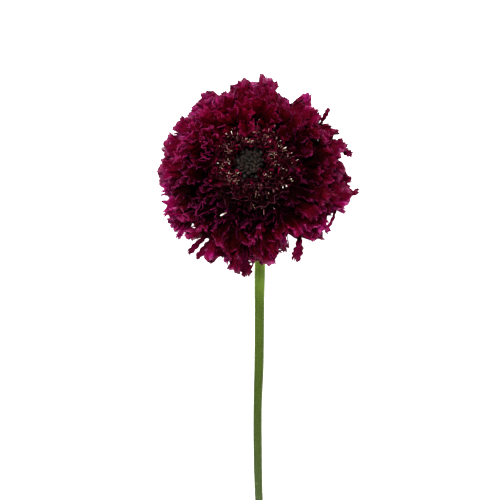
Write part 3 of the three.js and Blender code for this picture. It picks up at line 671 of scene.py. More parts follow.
def loose_lobe(pile, i, leaves_turn, leaves_at, tip_turn, tip_at, width, tone):
    """A narrow lobe on its own claw. Its middle line is the parabola from the receptacle through the
    place where it leaves the rest to its tip. Its half width is that of the claw, and over the last
    part, a share v, it swells as sin(pi (0.04 + 0.86 v^1.8))^0.6, with teeth and a forked tip. It is
    cupped by c^2, for c from -1 to 1 across it, and waved."""
    axis = HEAD_TURN @ np.array([0, 0, 1.0])

    def spot(turn, distance):
        x, y = distance * math.cos(turn * DEG), distance * math.sin(turn * DEG)
        return np.array([x, y, -(LOOSE_DROP + x * axis[0] + y * axis[1]) / axis[2]])

    foot, leaves, tip = spot(leaves_turn, LOOSE_FOOT), spot(leaves_turn, leaves_at), spot(tip_turn, tip_at)
    claw, blade = np.linalg.norm(leaves - foot), np.linalg.norm(tip - leaves)
    at = claw / (claw + blade)
    pull = (leaves - foot * (1 - at) ** 2 - tip * at**2) / (2 * at * (1 - at))
    o = np.concatenate([np.linspace(0, at, 20, endpoint=False), np.linspace(at, 1, 41)])[:, None]
    line = foot * (1 - o) ** 2 + 2 * pull * o * (1 - o) + tip * o**2
    side = unit(np.cross(axis, np.gradient(line, axis=0)))
    o = o[:, 0]
    v = np.clip((o - at) / (1 - at), 0, 1)
    swell = np.sin(np.pi * (0.04 + 0.86 * v**1.8)) ** 0.6
    c = np.linspace(-1, 1, 17)[:, None]
    jagged = (1 - np.abs(np.sin(13 * v**1.3 + i + 0.9 * (c > 0)))) * np.minimum(4 * v, 1)
    half = CLAW + (width / 2 - CLAW) * swell - (0.1 + 0.11 * width) * jagged
    cup = 0.3 * width * c**2 + 0.25 * np.sin(7 * o + 2 * c + i)
    cup += 0.12 * width * np.sin(9 * v + 3 * c + 2 * i)
    top = line + (c * half)[..., None] * side + cup[..., None] * axis
    prongs = 1 - np.abs(np.sin(1.5 * np.pi * (c + 0.1 * math.sin(5 * i))))
    forked = -(0.6 + 0.35 * width) * prongs * v**5 + 0.12 * c * np.sin(11 * v + 2 * i)
    top += forked[..., None] * unit(tip - leaves)
    add_sheet(pile, settled(top + HEAD_AT)[::-1], PETAL, floor=LOWEST_UNDERSIDE, out=0.45 + 0.5 * o,
              across=0.5 + 0.1 * c, calm=0.0, deep=0.0, steep=0.0, own=0.5 + tone, share=0.0)


def outer_florets():
    """All the outer florets in four piles: the first golden-angle spiral, a second one whose smaller
    florets stand between those of the first, and the loose lobes."""
    piles = [Pile() for _ in range(4)]
    for i in range(OUTER_COUNT):
        share = i / (OUTER_COUNT - 1)
        outer_petal(piles[i % 4], i, outer_floret(i, share, i * GOLDEN_ANGLE))
    for k in range(BETWEEN_COUNT):
        i = 200 + k
        share = mix(BETWEEN_SHARE, k / (BETWEEN_COUNT - 1))
        turn = k * GOLDEN_ANGLE + BETWEEN_FIRST_TURN
        outer_petal(piles[k % 4], i, outer_floret(i, share, turn, mix(BETWEEN_SIZE, draw(i, 98))))
    for i, row in enumerate(LOOSE_LOBES):
        loose_lobe(piles[i % 4], i, *row)
    return piles


# --- Inner florets and their stamens --------------------------------------------------------------


def inner_place(j):
    """An inner floret's share and turn, the middle of its mouth, its up, east and north, and how far
    it is bent outwards, as those on the open side are. The mouths are spread evenly over the cap."""
    share = j / (INNER_COUNT - 1)
    turn = j * GOLDEN_ANGLE + INNER_FIRST_TURN
    angle = math.acos(mix((math.cos(INNER_ANGLE[0]), math.cos(INNER_ANGLE[1])), share))
    mouth = direction(angle + 3 * DEG * spread(j, 41), turn + 4 * DEG * spread(j, 40))
    mouth = mouth * (mix(INNER_DISTANCE, share) + 0.7 * spread(j, 42))
    bent = (1 - share) * facing(turn, OPEN_SIDE, 1.8, 0.6)
    lean = 0.22 * np.array([spread(j, 48), spread(j, 49), 0.3 * spread(j, 50)])
    up = unit(direction(angle + INNER_BEND * bent, turn) + lean)
    return share, turn, mouth, (up, *square_to(up, [0, 0, 1.0])), bent


def inner_floret(pile, j):
    """A small funnel with five rounded lobes. At a turn t and a row o, its radius goes from the tube's
    to R (0.55 + 0.45 f |cos(2.5 t)|^0.5) at the edge, f being each lobe's own factor, and its height
    follows a flared throat plus the lift of each lobe."""
    share, _, mouth, axes, bent = inner_place(j)
    radius = mix(INNER_RADIUS, share) * (1 + 0.16 * spread(j, 43))
    t = np.linspace(0, 2 * np.pi, 46)[:, None]
    o = INNER_ROWS[None]
    bulge = np.abs(np.cos(2.5 * t))
    near = np.round(t / (2 * np.pi) * 5) % 5
    own_reach = 1 + 0.3 * spread(j, 44 + near * 3)
    reach = radius * (0.55 + 0.45 * own_reach * bulge**0.5)
    blunt = 0.05 * radius * np.sin(9 * t + 6 * draw(j, 51))
    r = 0.3 + (reach + blunt * o**6 - 0.3) * o**1.05 * (1 - 0.25 * bent * o)
    lift = mix((-0.6, 1.6), draw(j, 60 + near * 2)) * bulge**0.8
    throat = -2.2 * (1 - o) ** 4 - 0.1 + 0.35 * o
    z = throat + lift * o**1.8 * (radius / 2.4) + 0.16 * np.cos(10 * t) * o
    top = placed(mouth + about_axis(*axes, r, t + 6 * draw(j, 45), z))
    # Florets bent outwards into the hollow carry painted shade.
    add_sheet(pile, top, INNER_PETAL, round_about=True, out=o, across=draw(j, 210 + near * 5),
              along=bulge**0.7 * o, deep=bent, own=draw(j, 99))


def add_anther(pile, middle, way, over, length, own):
    """An oblong anther: an ellipsoid along its way with a groove down its middle."""
    s = np.linspace(-1, 1, 6)
    t = np.linspace(0, 2 * np.pi, 8, endpoint=False)[:, None]
    across = np.cross(over, way)
    wide = 0.1 * np.sqrt(np.maximum(1 - s**2, 0.02)) * (1 - 0.18 * np.cos(2 * t))
    grid = (
        middle
        + (s * length / 2)[..., None] * way
        + (wide * np.cos(t))[..., None] * across
        + (0.75 * wide * np.sin(t))[..., None] * over
    )
    add_body(pile, placed(grid[::-1]), own=own)


def add_stamens(threads, anthers, j, base, up, east, north, crossed):
    """The filaments and anthers of one floret: four anthers in a cross when it is newly open, and
    otherwise those that are left, at all angles."""
    for k in range(4):
        t = k * np.pi / 2 + 6 * draw(j, 152) + 0.3 * spread(j, 153 + k)
        outward = math.cos(t) * east + math.sin(t) * north
        own = draw(j, 160 + k)
        if crossed:
            length, bend = mix((1.7, 2.3), draw(j, 157)), outward * 0.42
            way = unit(outward + 0.12 * up * spread(j, 165 + k))
            size = mix((0.75, 0.95), own)
        elif own < 0.5:
            continue
        else:
            length, bend = mix((1.9, 3.6), own), outward * mix((0.5, 1.7), draw(j, 170 + k))
            way = unit(outward * spread(j, 175 + k) + north * spread(j, 180 + k) + 0.5 * up)
            size = mix((0.34, 0.52), own)
        path = bent_line(base, up, length, bend, 5)
        add_thread(threads, path, np.linspace(0.07, 0.05, 5), 4, own=own, out=0.0)
        over = unit(np.cross(way, np.cross(up, way)))
        add_anther(anthers, path[-1] + way * 0.32 * crossed, way, over, size, own)


def stamens():
    """The threads of the inner florets, and filaments, anthers and styles of the ripe ones. A style is
    a thread that thickens to its stigma. A few styles have dropped among the petals."""
    threads, anthers = Pile(), Pile()
    for j in range(INNER_COUNT):
        share, turn, mouth, (up, east, north), _ = inner_place(j)
        for k in range(3 * (share > THREADED_SHARE)):
            bend = 1.6 * (east * spread(j, 190 + k) + north * spread(j, 193 + k))
            path = bent_line(mouth - up * 1.2, up, mix((1.8, 3.4), draw(j, 196 + k)), bend, 6)
            add_thread(threads, path, np.linspace(0.06, 0.035, 6), 4,
                       own=0.35 * draw(j, 199 + k), out=np.linspace(0, 0.95, 6))
        by_buds = math.cos(turn - BUD_RING_SIDE) > 0.6 and share > 0.75
        if draw(j, 150) + 0.35 * math.cos(turn - RIPE_SIDE) < RIPE and not by_buds:
            continue
        base = mouth - up * 1.0
        add_stamens(threads, anthers, j, base, up, east, north, draw(j, 151) < 0.35 or by_buds)
        if draw(j, 185) < 0.55:
            bend = 0.8 * (east * spread(j, 186) + north * spread(j, 187))
            path = bent_line(base, up, mix((3.0, 4.4), draw(j, 188)), bend, 6)
            # Painted shade: the styles in the hollow stay less pale.
            pale = 1 - 0.25 * facing(turn, STYLE_SHADE_SIDE, 1.6, 0.2)
            add_thread(threads, path, [0.07, 0.07, 0.07, 0.08, 0.16, 0.13], 5,
                       own=draw(j, 189), out=np.linspace(0, pale, 6))
    t = np.linspace(0, 1, 6)[:, None]
    for foot, tip, thick in STRAY_STYLES:
        foot, tip = (HEAD_AT * [1, 1, 0] + end for end in (foot, tip))
        path = foot * (1 - t) + tip * t + np.array([0, 0, 0.6]) * t * (1 - t)
        radius = [0.08, 0.08, 0.1, 0.55 * thick, thick, 0.7 * thick]
        add_body(threads, tube_grid(path, radius, 7), own=0.5, out=np.linspace(0.6, 1.1, 6))
    return threads, anthers


# --- Centre buds ----------------------------------------------------------------------------------


def centre_buds():
    """Closed buds on a spiral. Each is an upright egg whose five folded lobes show as ribs that meet
    in a dimple at its top: radius R sin(u) (1 + 0.1 cos(5 t) sin(u)^0.5), u from its foot to its
    top."""
    pile = Pile()
    t = np.linspace(0, 2 * np.pi, 20, endpoint=False)[:, None]
    u = np.linspace(np.pi * 0.99, 0.04, 12)[None]
    for i in range(BUD_COUNT):
        spot = math.sqrt((i + 0.5) / BUD_COUNT) * (BUD_ZONE - 2 * DEG)
        up = direction(spot, i * GOLDEN_ANGLE)
        up = unit(up + 0.04 * np.array([spread(i, 72), spread(i, 73), 0]))
        size = BUD_RADIUS * (0.84 + 0.34 * spot / BUD_ZONE) * (1 + 0.18 * spread(i, 74))
        top = BUD_TOP - 0.5 * spot / BUD_ZONE + 0.5 * spread(i, 71)
        ribs = np.cos(5 * t + 6 * draw(i, 75))
        r = size * np.sin(u) * (1 + 0.1 * ribs * np.sin(u) ** 0.5)
        dimple = 0.28 * size * np.exp(-((r / size / 0.3) ** 2)) * (u < 1.5)
        rise = top - BUD_STRETCH * size * (1 - np.cos(u)) - dimple
        grid = about_axis(up, *square_to(up, [0.1, 0, 1.0]), r, t + 6 * draw(i, 76), rise)
        add_body(pile, placed(grid), out=1 - u / np.pi, across=0.5 + 0.5 * ribs, own=draw(i, 77),
                 share=spot / BUD_ZONE)
    return pile


def bristles():
    """Fine dark bristles of the calyx that stand between the buds and the inner florets."""
    pile = Pile()
    for i in range(BRISTLE_COUNT):
        spot = math.sqrt((i + 0.5) / BRISTLE_COUNT) * BRISTLE_ZONE
        up = direction(spot, i * GOLDEN_ANGLE + 0.7)
        lean = np.array([spread(i, 78), spread(i, 79), 0.3 * spread(i, 80)])
        path = bent_line(up * BRISTLE_FOOT, up, mix((2.6, 3.6), draw(i, 84)), lean * 0.5, 4)
        add_thread(pile, path, [0.09, 0.08, 0.06, 0.02], 3, own=draw(i, 85))
    return pile


# --- Behind the florets ---------------------------------------------------------------------------


def seed_cases(count, angles, top, thick, first_turn):
    """Ribbed seed cases of a radius R sin(pi (0.12 + 0.76 s))^0.6 (1 + 0.12 cos(8 t)), a share s out
    from the receptacle, spread evenly between two angles from the head's axis."""
    pile = Pile()
    t = np.linspace(0, 2 * np.pi, 16, endpoint=False)[:, None]
    s = np.linspace(0, 1, 6)[None]
    ribs = np.cos(8 * t)
    for i in range(count):
        angle = math.acos(mix((math.cos(angles[0]), math.cos(angles[1])), (i + 0.5) / count))
        up = direction(angle, i * GOLDEN_ANGLE + first_turn)
        r = thick * np.sin(np.pi * (0.12 + 0.76 * s)) ** 0.6 * (1 + 0.12 * ribs)
        r = r * (1 + 0.1 * spread(i, 190))
        grid = about_axis(up, *square_to(up, [0.02, 0, 1.0]), r, t, mix((SEED_CASE_FOOT, top), s))
        add_body(pile, placed(grid), across=0.5 + 0.5 * ribs)
    return pile


def bracts():
    """The whorl of narrow pointed bracts, and the collar that they stand on. Across a bract c runs
    from -1 to 1, and its half width is w (0.74 + 0.42 sin(2.6 o)) (1 - o^2.6). It curls down along o
    and is a little twisted, and it is thicker along its middle, as a keel."""
    pile = Pile()
    c = np.linspace(-1, 1, 15)[:, None]
    o = np.linspace(0, 1, 24)[None]
    for i in range(BRACT_COUNT):
        turn = i * 2 * np.pi / BRACT_COUNT + 0.15 * spread(i, 81)
        forward = direction(BRACT_ANGLE + 5 * DEG * spread(i, 82), turn)
        side = np.array([-math.sin(turn), math.cos(turn), 0])
        foot = direction(BRACT_FOOT_ANGLE, turn) * (COLLAR_RADIUS - 1.5)
        length = BRACT_LENGTH * (1 + 0.12 * spread(i, 83))
        half = BRACT_WIDTH / 2 * np.maximum((0.74 + 0.42 * np.sin(2.6 * o)) * (1 - o**2.6), 0.03)
        curl = -2.2 * o**2 - 0.35 * np.abs(c) ** 1.5 * (1 - o)
        curl += 0.25 * np.sin(5 * o + 6 * draw(i, 86)) * c * o + 0.5 * spread(i, 87) * o * c
        top = foot + (o * length)[..., None] * forward + (half * c)[..., None] * side
        top = top + curl[..., None] * np.cross(forward, side)
        thickness = 0.28 + 0.35 * np.exp(-((c / 0.16) ** 2)) * (1 - o)
        add_sheet(pile, settled(placed(top)), thickness, floor=LOWEST_UNDERSIDE, across=np.abs(c))
    t = np.linspace(0, 2 * np.pi, 49)[:, None]
    s = np.linspace(0, 1, 12)[None]
    distance = COLLAR_RADIUS - 0.4 - 1.9 * smooth((s - 0.35) / 0.65)
    distance = distance + 0.12 * np.cos(11 * t) * np.sin(np.pi * s)
    collar = distance[..., None] * direction(mix(COLLAR_ANGLE, s), t)
    add_sheet(pile, placed(collar[::-1]), COLLAR_THICKNESS, round_about=True, across=0.5)
    return pile


# --- Stem -----------------------------------------------------------------------------------------


def cubic(x, y, at):
    """A smooth curve through points (x, y): cubic Hermite pieces with slopes from the neighbours."""
    slope = np.gradient(y, x)
    k = np.clip(np.searchsorted(x, at) - 1, 0, len(x) - 2)
    h = x[k + 1] - x[k]
    s = (at - x[k]) / h
    return (
        y[k] * (1 + 2 * s) * (1 - s) ** 2
        + h * slope[k] * s * (1 - s) ** 2
        + y[k + 1] * s**2 * (3 - 2 * s)
        + h * slope[k + 1] * s**2 * (s - 1)
    )


def stem_path():
    """The stem's centre line and radius: a cubic Bezier out of the head, and then the lying run."""
    start, under = placed(np.array([[0, 0, -3.0], [0, 0, -15.0]]))
    landed = np.array([STEM_X[0], STEM_Y[0], STEM_RADIUS[0] - PRESS])
    before = landed + np.array([-0.1, 11, 0])
    t = np.linspace(0, 1, 46)[:-1, None]
    neck = start * (1 - t) ** 3 + 3 * under * t * (1 - t) ** 2 + 3 * before * t**2 * (1 - t) + landed * t**3
    y = np.linspace(STEM_Y[0], STEM_Y[-1] + 0.4, 150)
    radius = cubic(STEM_Y[::-1], STEM_RADIUS[::-1], y)
    run = np.stack([cubic(STEM_Y[::-1], STEM_X[::-1], y), y, radius - PRESS], -1)
    neck_radius = mix((NECK_RADIUS, STEM_RADIUS[0]), t[:, 0])
    return np.concatenate([neck, run]), np.concatenate([neck_radius, radius])


def stem():
    """The stem, a tube of radius R (1 + fine ribs round it) with slow swells along it, pressed a little
    flat where it lies. Its slanting cut end is filled by smaller and smaller copies of its last ring,
    which bulge. Its head end is the ball of the receptacle."""
    pile = Pile()
    path, radius = stem_path()
    t = np.linspace(0, 2 * np.pi, STEM_SIDES, endpoint=False)[:, None]
    ribs = 1 + 0.016 * np.cos(STEM_RIBS * t) + 0.009 * np.cos(23 * t + 1)
    swell = 1 + 0.02 * np.sin(path[:, 1] * 0.21)
    grid = lifted(tube_grid(path, radius * ribs * swell, STEM_SIDES), FLAT_HEIGHT, FLAT_SOFTNESS)
    grid[..., 1] = np.maximum(grid[..., 1], CUT_AT + CUT_SLANT * (grid[..., 2] - CUT_HEIGHT))
    cut_middle = np.array([path[-1, 0], CUT_AT, STEM_RADIUS[-1] - PRESS])
    shrink = np.array([0.94, 0.8, 0.6, 0.35, 0.12])
    rings = cut_middle + (grid[:, -1:] - cut_middle) * shrink[None, :, None]
    rings[..., 1] += np.array([0.0, 0.06, 0.1, 0.16, 0.18])
    add_body(
        pile, np.concatenate([grid, rings], axis=1),
        out=np.concatenate([np.linspace(0, 1, len(path)), np.ones(len(shrink))]),
        across=0.5 + 0.5 * np.cos(STEM_RIBS * t),
        end=np.concatenate([np.zeros(len(path)), 1 - shrink * 0.9]),
    )
    s = np.linspace(0.02, np.pi - 0.02, 20)[None]
    v = np.linspace(0, 2 * np.pi, 28, endpoint=False)[:, None]
    ball = RECEPTACLE_RADIUS * direction(s, v)
    add_body(pile, placed(ball[:, ::-1]), out=0.0, across=0.5, end=0.0)
    return pile


def hairs(points, ways, lengths, width):
    """Three-sided tapering hairs: a foot triangle round each point and a tip at point + way l."""
    side = unit(np.cross(ways, np.array([0.31, 0.9, 0.17])))
    other = np.cross(ways, side)
    turns = np.arange(3)[None, :, None] * 2 * np.pi / 3
    foot = points[:, None] + width * (np.cos(turns) * side[:, None] + np.sin(turns) * other[:, None])
    tips = points + ways * lengths[:, None]
    base = 4 * np.arange(len(points))[:, None]
    faces = np.concatenate([base + f for f in ([0, 1, 3], [1, 2, 3], [2, 0, 3], [2, 1, 0])])
    return np.concatenate([foot, tips[:, None]], axis=1), faces


def stem_hairs():
    """Short soft hairs all over the stem, more of them near the head."""
    rng = np.random.default_rng(11)
    path, radius = stem_path()
    k = (len(path) - 3) * rng.random(HAIR_COUNT) ** 1.25
    low = k.astype(int)
    share = (k - low)[:, None]
    centre = path[low] * (1 - share) + path[low + 1] * share
    across, over = frame_along(path)
    t = 2 * np.pi * rng.random(HAIR_COUNT)[:, None]
    ways = unit(across[low] * np.cos(t) + over[low] * np.sin(t))
    points = centre + ways * (radius[low][:, None] * 0.985)
    kept = (points[:, 2] > 0.35) & (points[:, 1] > CUT_AT + 2.4)
    points, ways = points[kept], ways[kept]
    along = unit(np.gradient(path, axis=0))[low][kept]
    ways = unit(ways + 0.45 * along * rng.random(len(ways))[:, None])
    full, faces = hairs(points, ways, mix(HAIR_LENGTH, rng.random(len(points))), HAIR_WIDTH)
    full[..., 2] = np.maximum(full[..., 2], FLAT_HEIGHT)
    pile = Pile()
    pile.add(full, [faces], own=np.repeat(rng.random(len(points)), 4))
    return pile


# --- Materials ------------------------------------------------------------------------------------


class Value:
    """A number that a node works out for each point. It takes part in sums as a plain number does."""

    def __init__(self, shader, socket):
        self.shader, self.socket = shader, socket

    def math(self, operation, *numbers):
        made = self.shader.node("Math", dict(enumerate(numbers)), operation=operation)
        return Value(self.shader, made.outputs[0])

    def __add__(self, other):
        return self.math("ADD", self, other)

    def __sub__(self, other):
        return self.math("SUBTRACT", self, other)

    def __rsub__(self, other):
        return self.math("SUBTRACT", other, self)

    def __mul__(self, other):
        return self.math("MULTIPLY", self, other)

    def __pow__(self, other):
        return self.math("POWER", self, other)

    def __abs__(self):
        return self.math("ABSOLUTE", self)

    def sine(self):
        return self.math("SINE", self)

    def larger(self, other):
        """The larger of the two."""
        return self.math("MAXIMUM", self, other)

    def between(self, start=0.0, end=1.0, low=0.0, high=1.0):
        """The value brought from start and end to low and high, and held there beyond them."""
        inputs = {0: self, 1: start, 2: end, 3: low, 4: high}
        return Value(self.shader, self.shader.node("MapRange", inputs).outputs[0])


class Shader:
    """A material's node tree, with a short way to add a node and link its inputs."""

    def __init__(self, name):
        self.material = bpy.data.materials.new(name)
        self.material.use_nodes = True
        self.tree = self.material.node_tree
        self.tree.nodes.clear()

    def node(self, kind, inputs=None, **settings):
        made = self.tree.nodes.new("ShaderNode" + kind)
        for key, value in settings.items():
            setattr(made, key, value)
        for key, value in (inputs or {}).items():
            if isinstance(value, Value):
                value = value.socket
            if isinstance(value, bpy.types.NodeSocket):
                self.tree.links.new(value, made.inputs[key])
            else:
                made.inputs[key].default_value = value
        return made

    def values(self, *names):
        """What the piece's points carry under these names."""
        made = [self.node("Attribute", attribute_name=name) for name in names]
        return [Value(self, node.outputs["Fac"]) for node in made]

    def ramp(self, value, *stops):
        """A colour for a value, eased between stops, each a position from 0 to 1 and its colour."""
        made = self.node("ValToRGB", {"Fac": value})
        made.color_ramp.interpolation = "EASE"
        elements = made.color_ramp.elements
        while len(elements) < len(stops):
            elements.new(0.5)
        for element, (position, color) in zip(elements, stops):
            element.position = position
            element.color = (*color, 1)
        return made.outputs["Color"]

    def mixed(self, share, a, b, blend="MIX"):
        """Colour a, with a share of colour b blended in."""
        a, b = ((*color, 1) if isinstance(color, tuple) else color for color in (a, b))
        made = self.node("Mix", {0: share, 6: a, 7: b}, data_type="RGBA", blend_type=blend)
        return made.outputs[2]

    def times(self, color, factor):
        """The colour times another colour, or times a value."""
        if isinstance(factor, Value):
            factor = self.node("CombineColor", {0: factor, 1: factor, 2: factor}).outputs[0]
        return self.mixed(1.0, color, factor, "MULTIPLY")

    def place(self):
        """The place on the piece, as Object coordinates in metres."""
        return self.node("TexCoord").outputs["Object"]

    def noise(self, scale, detail=3.0, place=None):
        place = place or self.place()
        inputs = {"Vector": place, "Scale": scale, "Detail": detail, "Roughness": 0.55}
        return Value(self, self.node("TexNoise", inputs).outputs["Fac"])

    def finish(self, color, roughness, bump=None, through=None, share=0.0, **constants):
        """A principled surface. A bump is a height, a strength and a distance. A share of the light
        passes through, in a colour of its own."""
        inputs = {"Base Color": color, "Roughness": roughness}
        if bump:
            bump_inputs = dict(zip(("Height", "Strength", "Distance"), bump))
            inputs["Normal"] = self.node("Bump", bump_inputs).outputs["Normal"]
        inputs.update({key.replace("_", " "): value for key, value in constants.items()})
        shader = self.node("BsdfPrincipled", inputs).outputs[0]
        if through is not None:
            inputs = {"Color": through, "Normal": inputs["Normal"]}
            passing = self.node("BsdfTranslucent", inputs).outputs[0]
            shader = self.node("MixShader", {0: share, 1: shader, 2: passing}).outputs[0]
        self.node("OutputMaterial", {"Surface": shader})
        return self.material


def petal_material():
    """Dark maroon in the throat, through wine red to magenta at the edge, with darker veins that fork
    towards the edge, uneven tone and a velvety surface. Florets of the inner rings are darker, partly
    as painted shade, and warmer. Painted shade darkens the hollow and further sides, and painted light
    lightens the calm side and a few others. The rim has a pale painted highlight in patches, and a
    lighter magenta margin on the steep side, partly a painted highlight where it stands edge-on."""
    s = Shader("petal_velvet")
    out, across, own, under, share = s.values("out", "across", "own", "under", "share")
    steep, deep, calm = s.values("steep", "deep", "calm")
    patches = s.noise(340.0, 4.0)
    inward = share.between(0.35, 1.0)

    # The tone: brighter outwards; darker in the inner rings, as younger florets are and partly as
    # painted shade; a little darker on the steep side; painted shade in the hollow and on the further
    # sides, painted light where that is negative, and painted light on the calm side.
    place = out + (patches - 0.5) * 0.7 + (own - 0.5) * 0.22 - inward * 0.3
    place = place - steep * 0.05 - deep * 0.8 + calm * (inward * 0.06 + 0.07)
    color = s.ramp(
        place,
        (0.0, (0.005, 0.0001, 0.0005)),
        (0.4, (0.021, 0.0002, 0.0014)),
        (0.68, (0.077, 0.0004, 0.008)),
        (0.9, (0.158, 0.0008, 0.036)),
        (1.0, (0.3, 0.008, 0.115)),
    )
    color = s.mixed(calm * 0.12 + inward * 0.6, color, s.times(color, (0.95, 0.8, 0.35)))

    # Wavering veins, which are twice as many towards the edge.
    line = across * 150.0 + (s.noise(420.0, 2.0) - 0.5) * 2.0
    veins = abs(line.sine()) ** 0.5
    fine = abs((line * 2.0).sine()) ** 0.6
    lines = veins * (1.0 - out.between(0.45, 0.75) * (1.0 - fine))
    color = s.times(color, lines.between(low=0.76, high=1.1))

    # The rim's pale painted highlight in patches, the magenta margin of the steep side, partly a
    # painted highlight where it stands edge-on, and the lower face.
    rim = out.between(0.9, 1.0)
    rim = rim * rim * s.noise(700.0, 2.0).between(0.35, 0.65, high=0.75)
    pale = (1.0 - (deep * 0.8).larger(calm * 0.5)) * patches.between(0.4, 0.62, low=0.12)
    rim_highlight_color = s.ramp(inward.larger(deep), (0.0, (0.62, 0.22, 0.42)), (0.5, (0.62, 0.035, 0.25)))
    color = s.mixed(rim * pale * 0.75, color, rim_highlight_color)
    margin = out.between(0.955, 1.0, high=0.8) * (1.0 - inward * 0.6)
    standing = steep * (1.0 - deep * 0.55) * s.noise(300.0, 1.0).between(0.42, 0.6, low=0.1)
    color = s.mixed(margin * standing, color, (0.62, 0.03, 0.22))
    color = s.mixed(under * 0.15, color, (0.16, 0.006, 0.06))

    # The relief: veins, grain, crinkles along the lobes and a soft unevenness.
    pleats = s.node("CombineXYZ", {0: across * 26.0, 1: out * 5.0, 2: own * 40.0}).outputs[0]
    crinkle = s.noise(1.0, 2.0, place=pleats) * out.larger(0.1)
    height = lines * 0.15 + s.noise(2600.0, 2.0) * 0.1 + crinkle * 2.0 + s.noise(900.0, 1.0) * 1.9
    return s.finish(
        color, patches.between(low=0.36, high=0.52), (height, 0.85, 0.0007),
        s.times(color, (1.5, 1.0, 1.4)), 0.13, Specular_IOR_Level=0.01, Sheen_Weight=0.001,
        Sheen_Roughness=0.4, Sheen_Tint=(0.8, 0.2, 0.5, 1),
    )


def inner_material():
    """Small florets of the middle: dark red, brighter towards the tips of some lobes. Those bent outwards
    into the hollow are darker by painted shade, and have a pale painted highlight along their rims."""
    s = Shader("inner_petal_velvet")
    own, tip, lobe, deep, out = s.values("own", "along", "across", "deep", "out")
    patches = s.noise(380.0, 3.0)
    # Painted shade darkens the florets bent outwards into the hollow.
    place = tip * 0.6 + (patches - 0.5) * 0.6 + (own - 0.5) * 0.25 + lobe**2.0 * 0.5 - deep * 0.55
    color = s.ramp(
        place,
        (0.0, (0.005, 0.0002, 0.0006)),
        (0.45, (0.012, 0.0001, 0.0012)),
        (0.8, (0.045, 0.0002, 0.006)),
        (1.0, (0.21, 0.0006, 0.03)),
    )
    # A pale painted highlight along the rims of the florets bent outwards.
    rim = out.between(0.92, 1.0) * s.noise(560.0, 1.0).between(0.45, 0.6, low=0.05)
    color = s.mixed(rim * deep * 0.6, color, (0.22, 0.04, 0.09))
    return s.finish(
        color, patches.between(low=0.42, high=0.62), (s.noise(3000.0, 2.0) + patches, 0.4, 0.00015),
        color, 0.2, Specular_IOR_Level=0.04, Sheen_Weight=0.004, Sheen_Tint=(0.8, 0.3, 0.5, 1),
    )


def thread_material():
    """Filaments and styles: wine red at the foot, paling to pinkish cream at the tip."""
    s = Shader("filament_pink")
    out, own = s.values("out", "own")
    color = s.ramp(
        out + (own - 0.5) * 0.5,
        (0.0, (0.06, 0.003, 0.01)),
        (0.7, (0.2, 0.04, 0.06)),
        (0.95, (0.6, 0.42, 0.36)),
        (1.0, (0.86, 0.82, 0.72)),
    )
    return s.finish(color, own.between(low=0.4, high=0.55), (s.noise(4000.0), 0.3, 0.00005))


def anther_material():
    """Cream anthers with dusty pollen, some of them greyer or pinker."""
    s = Shader("anther_cream")
    [own] = s.values("own")
    color = s.ramp(
        own,
        (0.0, (0.16, 0.06, 0.05)),
        (0.5, (0.42, 0.25, 0.17)),
        (0.85, (0.6, 0.46, 0.3)),
        (1.0, (0.9, 0.85, 0.72)),
    )
    dust = s.noise(5200.0)
    color = s.mixed(dust, color, (0.5, 0.36, 0.2), "MULTIPLY")
    return s.finish(color, dust.between(low=0.55, high=0.85), (dust, 0.7, 0.00006))


def bud_material():
    """Closed buds: dull olive and grey brown, lighter and darker ones, with painted shade in the folds and
    at the foot, and a dusky red flush on some of the outer ones."""
    s = Shader("bud_olive")
    out, across, own, share = s.values("out", "across", "own", "share")
    dust = s.noise(1500.0)
    # Dark at the foot: painted shade between the crowded buds.
    color = s.ramp(
        out + (dust - 0.5) * 0.5,
        (0.0, (0.0006, 0.0004, 0.0002)),
        (0.6, (0.002, 0.0015, 0.0009)),
        (1.0, (0.0142, 0.0117, 0.008)),
    )
    # Darker in the folds between the ribs: painted shade.
    color = s.times(color, own.between(low=0.45, high=1.45) * across.between(low=0.35, high=1.4))
    color = s.mixed(share * own * 0.4, color, (0.03, 0.004, 0.006))
    return s.finish(
        color, dust.between(low=0.5, high=0.75), (dust, 0.6, 0.0001), Sheen_Weight=0.01,
        Specular_IOR_Level=0.1, Sheen_Tint=(0.8, 0.8, 0.65, 1),
    )


def strand_material(name, low, high, strength, depth):
    """Thin hairs or bristles, each of a colour between low and high, with a fine grain."""
    s = Shader(name)
    [own] = s.values("own")
    color = s.ramp(own, (0.0, low), (1.0, high))
    return s.finish(color, own.between(low=0.4, high=0.6), (s.noise(3000.0), strength, depth))


def leaf_material(name, low, middle, high, sheen=0.3):
    """Green or brown tissue: a mottled tone that goes from low to high over the ribs, and a soft
    downy surface."""
    s = Shader(name)
    [across] = s.values("across")
    mottle = s.noise(420.0, 4.0)
    color = s.ramp(across * 0.6 + (mottle - 0.5) * 0.9, (0.0, low), (0.45, middle), (1.0, high))
    return s.finish(
        color, mottle.between(low=0.5, high=0.7), (s.noise(2400.0, 2.0) * 0.5 + mottle, 0.35, 0.00012),
        color, 0.12, Sheen_Weight=sheen, Specular_IOR_Level=0.4, Sheen_Tint=(0.85, 1.0, 0.7, 1),
    )


